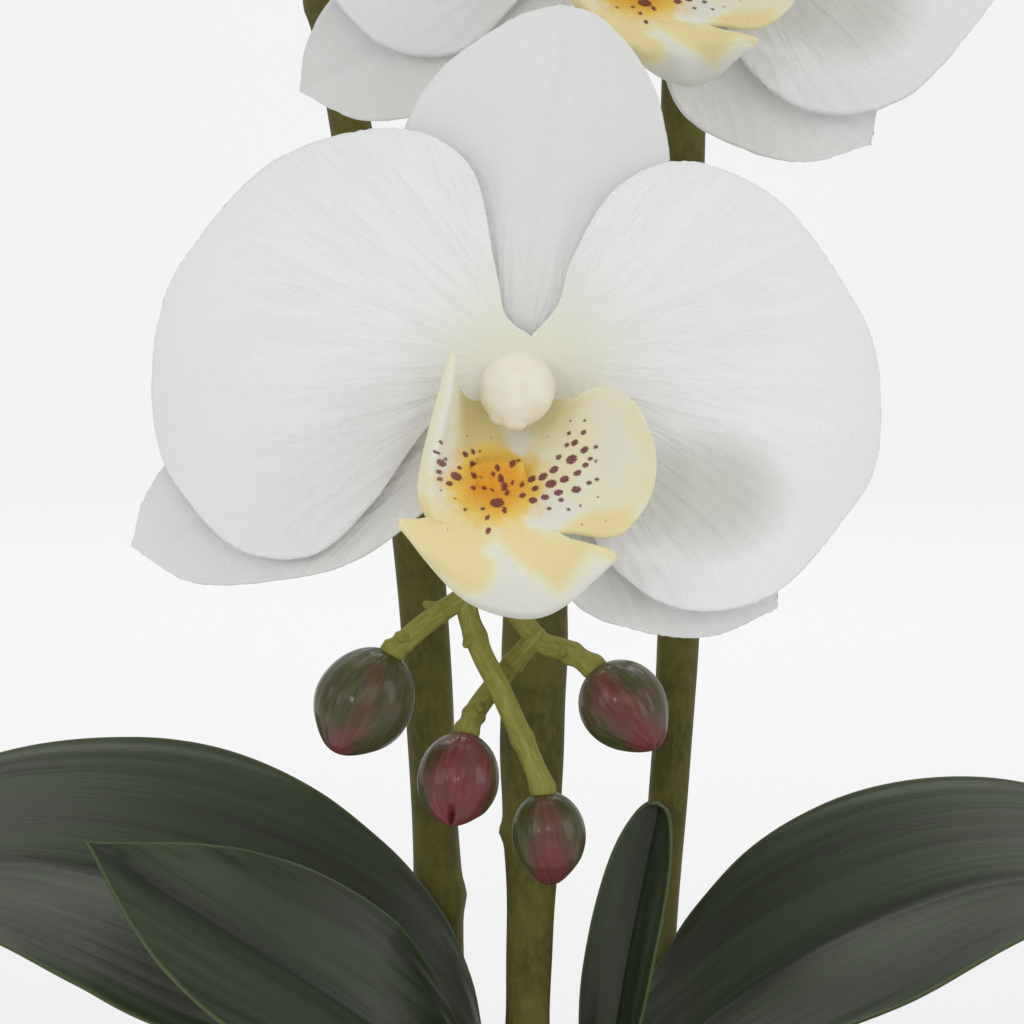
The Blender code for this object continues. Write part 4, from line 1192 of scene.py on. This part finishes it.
leathery_leaf = leaf_material()
print("leaf:", leathery_leaf.name)

# %% Ribs and sizes of the leaves
LEAVES = {  # rib above the bark, half width, dish, where it is widest, rolls from base to tip
    "leaf_left_upper": (
        ((-9.8, 0, 15), (-11.5, 0, 29), (-19, 0, 40), (-34, 1, 49), (-58, 2, 57.4), (-80, 2, 58.8),
         (-103, 0, 48), (-121, -2, 28)), 22.8, 0.14, 0.46, (0, 50, 20, 4),
    ),
    "leaf_left_front": (
        ((-6.6, -9.4, 17), (-13, -13, 31), (-25, -19, 43), (-42, -23, 54.5), (-60.5, -22, 66)),
        14.0, 0.14, 0.5, (20, 58, 58, 50),
    ),
    "leaf_left_lower": (
        ((-9.4, 2, 7), (-28, 7, 18), (-52, 15, 23), (-76, 24, 14), (-95, 32, -6)),
        19.0, 0.14, 0.56, (-6, -6, 0, 0),
    ),
    "leaf_right_upper": (
        ((10.2, -0.5, 15), (12.6, -0.5, 28), (23, 0, 38), (43, 1, 50.5), (66, 1, 57.5), (90, 0, 55),
         (110, -2, 42), (124, -4, 24)), 20.0, 0.18, 0.42, (0, 38, 6, -4),
    ),
    "leaf_right_inner": (
        ((6.4, -9.6, 18), (8.8, -10.6, 32), (11.8, -11, 50), (15.9, -11, 69.6)),
        5.6, 0.32, 0.55, (58, 58, 58, 58),
    ),
    "leaf_right_lower": (
        ((8.6, -7.4, 8), (26, -20, 19), (48, -36, 22), (72, -50, 10), (90, -60, -12)),
        18.0, 0.14, 0.56, (6, 6, 0, 0),
    ),
}
LEAF_ROWS, LEAF_COLUMNS, LEAF_THICKNESS = 120, 56, 1.4
LEAF_TIP = 0.62  # a larger number gives a sharper tip, a smaller one a rounder tip
OTHER_TIPS = {"leaf_left_front": 1.15, "leaf_right_inner": 0.42}
LEAF_FOOT = 0.26  # how wide a leaf is at its base, as a share of its widest place
THIN_MARGIN, MARGIN_WIDTH = 0.35, 3.0  # how thick its edge is, as a share, and where it is full again
LEAF_GAP = 0.01  # vertices at a leaf's tip that are nearer than this are merged
print("leaf ribs:", len(LEAVES))


# %% Shape of a leaf
def leaf_frame(rib, rolls):
    """The directions across the blade and out of its face, at each place along its rib."""
    along = np.gradient(rib, axis=0)
    along /= np.linalg.norm(along, axis=1)[:, None]
    level = np.cross(along, (0.0, 0.0, 1.0))
    level /= np.linalg.norm(level, axis=1)[:, None]
    level *= np.where(level[:, 1:2] < 0, -1, 1)
    upward = np.cross(along, level)
    upward *= np.where(upward[:, 2:3] < 0, -1, 1)
    knots = [(place * 30.0, 0, 0, roll) for place, roll in enumerate(rolls)]
    roll = np.radians(smooth_line(knots, LEAF_ROWS + 1)[:, 3])[:, None]
    return level * np.cos(roll) + upward * np.sin(roll), upward * np.cos(roll) - level * np.sin(roll)


def leaf_reach(b, half_width, widest, tip):
    """Half the blade's width at each share of its length."""
    swelling = LEAF_FOOT + (1 - LEAF_FOOT) * np.sin(np.pi / 2 * np.clip(b / widest, 0, 1)) ** 1.2
    closing = np.clip(1 - (np.clip((b - widest) / (1 - widest), 0, 1)) ** 2.3, 0, 1) ** tip
    return half_width * np.where(b < widest, swelling, closing)


# %% Build the leaves
def leaf_piece(name):
    """A leaf's dished blade with a channel and fine ridges, its notes, and its thickness."""
    rib_points, half_width, dish, widest, rolls = LEAVES[name]
    rib = smooth_line(raised(rib_points), LEAF_ROWS + 1)
    side, face = leaf_frame(rib, rolls)
    b = np.linspace(0, 1, LEAF_ROWS + 1)
    reach = leaf_reach(b, half_width, widest, OTHER_TIPS.get(name, LEAF_TIP))
    a = np.sin(np.linspace(-np.pi / 2, np.pi / 2, LEAF_COLUMNS + 1))
    across = a[None, :] * reach[:, None]
    length = length_of(rib)
    far = b[:, None] * length
    rise = dish * reach[:, None] * np.abs(a[None, :]) ** 1.6
    full = between(reach / half_width, 0.1, 0.6)[:, None]
    rise = rise - (0.45 * hump(across, 0.0, 1.1) + 0.9 * hump(across, 0.0, 5.0)) * full
    rise = rise + 0.06 * np.cos(across * 2.4 + 0.02 * far) * full
    rise = rise + 0.30 * np.sin(far / 13.0 + len(name)) * np.abs(a[None, :]) ** 3 * full
    points = rib[:, None] + side[:, None] * across[..., None] + face[:, None] * rise[..., None]
    bm = bmesh.new()
    layer = bm.verts.layers.float_vector.new("blade")
    made, where = laid_grid(bm, points)
    for vertex, (row, column) in zip(made, where):
        margin = min(reach[row] * (1 - abs(a[column])), (LEAF_ROWS - row) / LEAF_ROWS * length)
        vertex[layer] = (across[row, column], b[row] * length, margin)
    bmesh.ops.remove_doubles(bm, verts=bm.verts, dist=LEAF_GAP * MM)
    bmesh.ops.recalc_face_normals(bm, faces=bm.faces)
    piece = finished(name.replace("leaf", "leaf_blade"), bm, leathery_leaf, [name])
    margins = [kept.vector[2] for kept in piece.data.attributes["blade"].data]
    body = piece.vertex_groups.new(name="body")
    for index, margin in enumerate(margins):
        full = THIN_MARGIN + (1 - THIN_MARGIN) * float(between(margin, 0.0, MARGIN_WIDTH))
        body.add([index], full, "REPLACE")
    thicken(piece, LEAF_THICKNESS).modifiers["thickness"].vertex_group = "body"
    return piece


for name in LEAVES:
    leaf_piece(name)
print("leaves:", len(LEAVES))

# %% [markdown]
# ## The crown
# All the leaves leave a short upright stem whose surface is made of their old, dry-edged bases, wrapped one
# over the other. It could be one bumpy cylinder, but then no edge would stand free. So a turned core fills
# the middle, and curved scales around it overlap like roof tiles.

# %% Crown
def crown_material():
    sheath = new_material("dry_sheath", Roughness=0.55)
    place = in_mm(sheath)
    lines = cloud(sheath, stretched(sheath, place, (1.6, 1.6, 0.08)), 1.0, 3.0, 0.6)
    patch = cloud(sheath, place, 0.12, 3.0)
    colour = mixed(sheath, step(sheath, lines, 0.35, 0.7), (0.055, 0.075, 0.025), (0.13, 0.155, 0.06))
    colour = mixed(sheath, step(sheath, patch, 0.52, 0.66), colour, (0.20, 0.145, 0.075))
    bump = relief(sheath, lines, 0.3, 0.6)
    return connect(sheath, Base_Color=colour, Normal=bump)


dry_sheath = crown_material()
crown_low, crown_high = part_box("crown")
CROWN_REACH = (crown_high.x - crown_low.x) / 2 / MM
crown_bottom, crown_top = crown_low.z / MM, crown_high.z / MM
SCALE_COUNT, SCALE_TURN, SCALE_THICKNESS = 8, 2.4, 0.7


def crown_piece():
    """A tapered core and overlapping scales, each a small sheet curved around it."""
    bm = bmesh.new()
    core = [(0, 0, crown_bottom - 3, CROWN_REACH * 0.86), (0, 0, crown_bottom + 8, CROWN_REACH * 0.9),
            (0, 0, crown_top - 8, CROWN_REACH * 0.66), (0, 0, crown_top - 2, CROWN_REACH * 0.4)]
    add_tube(bm, smooth_line(core, 24), 40)
    for index in range(SCALE_COUNT):
        middle = index * SCALE_TURN
        low = crown_bottom - 2 + (index % 4) * 3.5
        tall = 15.0 - (index % 3) * 2.0
        a = np.linspace(-1, 1, 17)[None, :]
        b = np.linspace(0, 1, 21)[:, None]
        spread = 1.15 * (1 - 0.75 * b**2.2)
        around = middle + a * spread
        out = CROWN_REACH * (1.0 - 0.30 * b) + 0.3 * index / SCALE_COUNT + 0.9 * b**3
        points = np.stack([out * np.cos(around), out * np.sin(around), low + b * tall + 0 * a], axis=-1)
        made, _ = laid_grid(bm, points)
        new_faces = list({face for vertex in made for face in vertex.link_faces})
        bmesh.ops.recalc_face_normals(bm, faces=new_faces)
        bmesh.ops.solidify(bm, geom=new_faces, thickness=SCALE_THICKNESS * MM)
    bmesh.ops.recalc_face_normals(bm, faces=bm.faces)
    return finished("crown_sheaths", bm, dry_sheath, ["crown"])


crown_piece()
print("crown scales:", SCALE_COUNT)

# %% [markdown]
# ## The pot
# A thrown or cast pot is a turned shape, so a profile is drawn once and spun around the upright axis with
# `bmesh.ops.spin`. Extruding a circle ring by ring would work too, but a profile shows the wall, the rolled
# rim and the foot in one list. The glaze is smooth and slightly uneven, with a coat over it.

# %% Pot
def glaze_material():
    glaze = new_material("white_glaze", Roughness=0.28, Coat_Weight=0.4, Coat_Roughness=0.08)
    place = in_mm(glaze)
    pool = cloud(glaze, place, 0.035, 2.0)
    colour = mixed(glaze, step(glaze, pool, 0.35, 0.7), (0.765, 0.755, 0.73), (0.79, 0.783, 0.76))
    specks = add(glaze, "TexVoronoi", {"Vector": place, "Scale": 0.35})
    colour = mixed(glaze, step(glaze, specks, 0.09, 0.04), colour, (0.55, 0.50, 0.42))
    height = parts(glaze, place)[2]
    throwing = calc(glaze, "SINE", calc(glaze, "MULTIPLY", height, 1.7))
    bump = relief(glaze, throwing, 0.05, 0.35)
    bump = relief(glaze, pool, 0.6, 0.25, bump)
    return connect(glaze, Base_Color=colour, Normal=bump)


white_glaze = glaze_material()
pot_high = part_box("pot")[1]
POT_HEIGHT, RIM_REACH = pot_high.z / MM, pot_high.x / MM
POT_WALL, POT_FLOOR, POT_FOOT = 3.6, 6.0, 44.0  # wall, top of the floor, radius of the foot
RIM_ROLL, RIM_HEIGHT = 1.4, 7.0  # how far the rim stands out, and how tall it is
POT_SIDES = 128


def pot_reach(height):
    """The outer radius of the pot's wall, without its rim, at this height in millimetres."""
    return POT_FOOT + (RIM_REACH - RIM_ROLL - POT_FOOT) * max(height / POT_HEIGHT, 0) ** 0.8


def spun(bm, profile, steps):
    """Spins a profile of (radius, height) around the upright axis, and closes it on the axis."""
    points = [bm.verts.new((radius * MM, 0, height * MM)) for radius, height in profile]
    edges = [bm.edges.new(pair) for pair in zip(points, points[1:])]
    turn = {"cent": (0, 0, 0), "axis": (0, 0, 1), "angle": 2 * math.pi, "use_merge": True}
    bmesh.ops.spin(bm, geom=points + edges, steps=steps, **turn)
    bmesh.ops.remove_doubles(bm, verts=bm.verts, dist=0.001 * MM)
    bmesh.ops.recalc_face_normals(bm, faces=bm.faces)


def arc(middle_r, middle_z, radius, start, end, steps):
    """Points on an arc of a profile, from one angle in degrees to another."""
    turns = np.linspace(math.radians(start), math.radians(end), steps + 1)
    return [(middle_r + radius * math.cos(t), middle_z + radius * math.sin(t)) for t in turns]


def pot_piece():
    """The whole profile, from the floor's middle over the rim to the underside's middle, spun once."""
    inner = [(pot_reach(h) - POT_WALL, h) for h in np.linspace(POT_FLOOR + 4, POT_HEIGHT - 3, 24)]
    top = pot_reach(POT_HEIGHT)
    half = (POT_WALL + RIM_ROLL) / 2
    rim = arc(top - POT_WALL + half, POT_HEIGHT - half, half, 180, 0, 14)
    under = pot_reach(POT_HEIGHT - RIM_HEIGHT)
    lip = arc(under + RIM_ROLL - 1.0, POT_HEIGHT - RIM_HEIGHT + 1.2, 1.0, 0, -80, 5)
    outer = [(pot_reach(h), h) for h in np.linspace(POT_HEIGHT - RIM_HEIGHT - 0.4, 3.0, 30)]
    foot = arc(POT_FOOT - 1.0, 1.4, 1.4, 10, -90, 5)
    underside = [(POT_FOOT - 4.0, 0.0), (POT_FOOT - 5.4, 1.2), (0, 1.2)]
    corner = inner[0][0] - 4
    floor = [(0, POT_FLOOR), (corner, POT_FLOOR), *arc(corner, POT_FLOOR + 4, 4, -80, -10, 4)]
    bm = bmesh.new()
    spun(bm, [*floor, *inner, *rim, *lip, *outer, *foot, *underside], POT_SIDES)
    return finished("pot_body", bm, white_glaze, ["pot"])


pot_piece()
print("pot:", round(POT_HEIGHT, 1), "mm tall and", round(2 * RIM_REACH, 1), "mm across its rim")

# %% [markdown]
# ## Bark
# Orchids stand in coarse pieces of bark. The CAD node is one smooth block, so it is replaced by a dark bed
# and a layer of loose chips. Each chip starts as a cube, is subdivided, smoothed, squashed and bent, and is
# dropped at a seeded place. There are a few hundred, so each one has only a few dozen faces.

# %% Bark and chips
OLD_BARK = (0.035, 0.018, 0.010)
BED_GAP = 0.3  # between the bed and the pot


def bark_material(name, furrow_tone, ridge_tone):
    """Fibrous bark, darker in its furrows and paler on its ridges, with old dark patches."""
    bark = new_material(name, Roughness=0.9)
    place = in_mm(bark)
    fibre = cloud(bark, stretched(bark, place, (0.5, 0.9, 2.2)), 1.0, 5.0, 0.7, 0.6)
    patch = cloud(bark, place, 0.16, 3.0)
    colour = mixed(bark, step(bark, fibre, 0.3, 0.75), furrow_tone, ridge_tone)
    colour = mixed(bark, calc(bark, "MULTIPLY", step(bark, patch, 0.5, 0.7), 0.5), colour, OLD_BARK)
    bump = relief(bark, fibre, 0.7, 0.8)
    return connect(bark, Base_Color=colour, Normal=bump)


def bark_bed():
    """The dark bed that fills the pot, a little lower than its wall all round."""
    reach = pot_reach(bark_edge) - POT_WALL - BED_GAP
    rings = np.linspace(0, 1, 14)
    profile = [(reach * r, bark_edge + 0.8 * (1 - r**2)) for r in rings]
    low = [(pot_reach(h) - POT_WALL - BED_GAP, h) for h in (60, 30, POT_FLOOR + 4)]
    bm = bmesh.new()
    spun(bm, [*profile, *low, (low[-1][0] - 4, POT_FLOOR + BED_GAP), (0, POT_FLOOR + BED_GAP)], 64)
    for vertex in bm.verts:
        if vertex.co.z > (bark_edge - 1) * MM and vertex.co.xy.length < (reach - 2) * MM:
            vertex.co.z += 1.2 * MM * noise.noise(vertex.co / MM * 0.25)
    material = bark_material("bark_bed", furrow_tone=(0.022, 0.012, 0.007), ridge_tone=(0.07, 0.04, 0.022))
    return finished("bark_bed", bm, material, ["bark"])


bark_bed()
print("the bed's edge is at", round(bark_edge, 1), "mm")

# %% Loose chips
CHIP_COUNT = 260
CHIP_AREA = 50.0  # radius that chips are dropped in
STEM_FEET = (  # the places that chips keep away from: (right, back, radius)
    (-12.4, 17.5, 4.5), (-2.2, -14.0, 4.4), (13.7, 17.5, 4.4), (0.0, 0.0, CROWN_REACH + 1.5),
)


def bark_chips():
    """Smoothed, bent and squashed cubes, dropped at seeded places around the stems."""
    rng = np.random.default_rng(11)
    bm = bmesh.new()
    placed = 0
    while placed < CHIP_COUNT:
        away, around = CHIP_AREA * math.sqrt(rng.uniform()), rng.uniform(0, 2 * math.pi)
        x, y = away * math.cos(around), away * math.sin(around)
        length, width, thick = rng.uniform(7, 15), rng.uniform(4.5, 8.5), rng.uniform(1.6, 3.4)
        if any(math.hypot(x - fx, y - fy) < reach + width * 0.42 for fx, fy, reach in STEM_FEET):
            continue
        if away + length * 0.45 > pot_reach(bark_edge) - POT_WALL:
            continue
        start = len(bm.verts)
        made = bmesh.ops.create_cube(bm, size=1.0)["verts"]
        edges = list({edge for vertex in made for edge in vertex.link_edges})
        for vertex in made:
            vertex.co.x *= 1 - 0.35 * rng.uniform() * (vertex.co.y > 0)
            vertex.co += Vector(rng.uniform(-0.10, 0.10, 3))
        bmesh.ops.subdivide_edges(bm, edges=edges, cuts=1, use_grid_fill=True)
        bm.verts.ensure_lookup_table()
        chip = bm.verts[start:]
        axes = {"use_axis_x": True, "use_axis_y": True, "use_axis_z": True}
        bmesh.ops.smooth_vert(bm, verts=chip, factor=0.35, **axes)
        height = bark_edge + thick * 0.4 + rng.uniform(0.4, 3.0) * (1 - away / 60)
        turn = Euler((rng.normal(0, 0.22), rng.normal(0, 0.22), rng.uniform(0, math.pi))).to_matrix()
        for vertex in chip:
            p = vertex.co.copy()
            p.z += 0.5 * noise.noise(p * 2.5 + Vector((placed, 0, 0)))
            p = Vector((p.x * length, p.y * width, p.z * thick + 1.2 * p.x * p.x * thick))
            vertex.co = (turn @ p + Vector((x, y, height))) * MM
        placed += 1
    bmesh.ops.recalc_face_normals(bm, faces=bm.faces)
    material = bark_material("bark_chips", furrow_tone=(0.055, 0.028, 0.015), ridge_tone=(0.20, 0.115, 0.062))
    return finished("bark_chips", bm, material, smooth=False)


bark_chips()
print("bark chips:", CHIP_COUNT)

# %% [markdown]
# ## Roots
# Thick silvery-green roots leave the crown, lie on the bark and dive into it. Bevelled curves would do, but
# the rolled grid is at hand. Each is a tube on a short line, with a slow change of radius so that it doesn't
# look like a hose.

# %% Roots
def root_material():
    root = new_material("silvery_root", Roughness=0.75)
    place = in_mm(root)
    speckle = cloud(root, place, 0.9, 4.0, 0.7)
    patch = cloud(root, place, 0.09, 2.0)
    colour = mixed(root, step(root, speckle, 0.35, 0.7), (0.20, 0.22, 0.15), (0.34, 0.36, 0.28))
    colour = mixed(root, step(root, patch, 0.5, 0.68), colour, (0.15, 0.19, 0.075))
    bump = relief(root, speckle, 0.15, 0.6)
    return connect(root, Base_Color=colour, Normal=bump)


ROOTS = (  # (right, back, above the bark, radius)
    ((4.0, -4.0, 6.5, 2.3), (13, -15, 5.0, 2.4), (24, -28, 3.6, 2.2), (33, -33, 1.0, 2.0),
     (38, -33.5, -4, 1.8)),
    ((-4.5, -4.0, 6.0, 2.2), (-16, -17, 5.4, 2.3), (-24, -31, 4.0, 2.1), (-24, -41, 1.0, 1.9),
     (-22, -45, -4, 1.7)),
    ((5.0, 4.0, 7.0, 2.2), (22, 9, 5.0, 2.3), (36, 8, 3.4, 2.1), (44, 3, 0.0, 1.9), (46, 0, -4, 1.7)),
    ((-4.0, 5.0, 6.6, 2.2), (-25, 14, 4.8, 2.2), (-35, 24, 3.4, 2.1), (-37, 33, 0.0, 1.9),
     (-37, 37, -4, 1.7)),
    ((0.0, 5.5, 6.4, 2.1), (1, 24, 5.0, 2.2), (8, 36, 3.6, 2.0), (18, 41, 0.0, 1.8), (21, 42, -4, 1.7)),
)
ROOT_ROWS, ROOT_SIDES = 60, 24


def root_piece():
    """All the roots as one piece."""
    bm = bmesh.new()
    for index, points in enumerate(ROOTS):
        line = smooth_line(raised(points), ROOT_ROWS)
        line[:, 3] *= 1 + 0.06 * np.sin(np.linspace(0, 17, ROOT_ROWS) + index)
        add_tube(bm, line, ROOT_SIDES)
    bmesh.ops.remove_doubles(bm, verts=bm.verts, dist=TUBE_GAP * MM)
    bmesh.ops.recalc_face_normals(bm, faces=bm.faces)
    return finished("aerial_roots", bm, root_material())


root_piece()
print("roots:", len(ROOTS))

# %% [markdown]
# ## The studio
# The plant is seen against a plain, nearly white sweep: a floor that turns up into a wall without a corner.
# One profile of the sweep is extruded sideways. Wide soft lamps stand at the left, the right and the front,
# one lies above, and one behind the plant is aimed at the sweep, so that it stays nearly white. A small one
# gives the buds their glint, and a bright even world fills the shadows, as a light tent does.

# %% The sweep
SWEEP_HALF, SWEEP_BACK, SWEEP_BEND, SWEEP_TOP = 4.0, 2.4, 0.9, 4.0  # metres
PAPER = (0.83, 0.829, 0.832, 1.0)


def sweep():
    """A floor that bends up into a wall, in one piece of pale paper."""
    bm = bmesh.new()
    turn = [
        (SWEEP_BACK + SWEEP_BEND * math.sin(t), SWEEP_BEND - SWEEP_BEND * math.cos(t))
        for t in np.linspace(0, math.pi / 2, 13)
    ]
    profile = [(-SWEEP_HALF, 0.0), *turn, (SWEEP_BACK + SWEEP_BEND, SWEEP_TOP)]
    points = [bm.verts.new((-SWEEP_HALF, y, z)) for y, z in profile]
    edges = [bm.edges.new(pair) for pair in zip(points, points[1:])]
    pulled = bmesh.ops.extrude_edge_only(bm, edges=edges)["geom"]
    moved = [item for item in pulled if isinstance(item, bmesh.types.BMVert)]
    bmesh.ops.translate(bm, verts=moved, vec=(2 * SWEEP_HALF, 0, 0))
    bmesh.ops.recalc_face_normals(bm, faces=bm.faces)
    mesh = bpy.data.meshes.new("sweep")
    bm.to_mesh(mesh)
    bm.free()
    mesh.shade_smooth()
    mesh.materials.append(new_material("pale_paper", Roughness=0.95, Base_Color=PAPER))
    made = bpy.data.objects.new("sweep", mesh)
    bpy.context.scene.collection.objects.link(made)


sweep()
print("the sweep is", 2 * SWEEP_HALF, "m wide")

# %% Lamps and world
FLOWER_HEIGHT = 0.22
LAMPS = {  # place, aim, size in metres, and watts
    "left_softbox": ((-1.25, -0.95, 0.55), (0, 0, FLOWER_HEIGHT), (0.6, 0.9), 2.5),
    "right_softbox": ((1.3, -0.6, 0.5), (0, 0, FLOWER_HEIGHT), (0.6, 0.9), 3.4),
    "top_softbox": ((0.0, 0.1, 1.6), (0, 0, FLOWER_HEIGHT), (1.4, 1.0), 5.4),
    "backdrop_light": ((0.0, 1.3, 2.2), (0, 2.7, 0.5), (3.6, 0.8), 38),
    "front_softbox": ((0.25, -1.5, 0.8), (0, 0, 0.3), (1.4, 0.8), 3.0),
    "glint": ((-0.45, -1.0, 0.45), (0, 0, 0.2), (0.10, 0.16), 0.8),
}
WORLD_COLOUR, WORLD_STRENGTH = (1.0, 0.995, 0.985, 1.0), 0.52


def lamp(name, place, aim, size, watts):
    """A rectangular lamp that faces what it aims at."""
    data = bpy.data.lights.new(name, "AREA")
    data.shape = "RECTANGLE"
    data.size, data.size_y = size
    data.energy = watts
    made = bpy.data.objects.new(name, data)
    made.location = place
    made.rotation_euler = (Vector(aim) - Vector(place)).to_track_quat("-Z", "Y").to_euler()
    bpy.context.scene.collection.objects.link(made)


for name, settings in LAMPS.items():
    lamp(name, *settings)
world = bpy.data.worlds.new("light_tent")
world.use_nodes = True
world.node_tree.nodes["Background"].inputs["Color"].default_value = WORLD_COLOUR
world.node_tree.nodes["Background"].inputs["Strength"].default_value = WORLD_STRENGTH
bpy.context.scene.world = world
bpy.context.scene.view_settings.view_transform = "Standard"
print("lamps:", len(LAMPS))

# %% [markdown]
# ## The camera
# The view is a close-up of the lowest open flower, slightly from above, with a long lens so that the flower
# behind it keeps its size. The camera is placed from the flower's own frame.

# %% Camera
AIM_FROM_FLOWER = (-0.6, 0.0, -15.6)  # from the flower's centre, in millimetres
LOOK_DOWN = math.radians(5)
DISTANCE = 600.0  # millimetres from the camera to its aim
VIEW_WIDTH = 128.0  # millimetres that are seen across at that distance
SENSOR = 36.0

aim = Vector(frames[NEAREST][1]) + Vector(AIM_FROM_FLOWER)
camera_data = bpy.data.cameras.new("close_up")
camera_data.sensor_width = SENSOR
camera_data.lens = SENSOR * DISTANCE / VIEW_WIDTH
camera_data.clip_start = 0.01
camera = bpy.data.objects.new("close_up", camera_data)
camera.location = (aim + Vector((0, -math.cos(LOOK_DOWN), math.sin(LOOK_DOWN))) * DISTANCE) * MM
camera.rotation_euler = (math.pi / 2 - LOOK_DOWN, 0, 0)
bpy.context.scene.collection.objects.link(camera)
bpy.context.scene.camera = camera
print("camera at", [round(v, 4) for v in camera.location], "with a lens of", round(camera_data.lens), "mm")
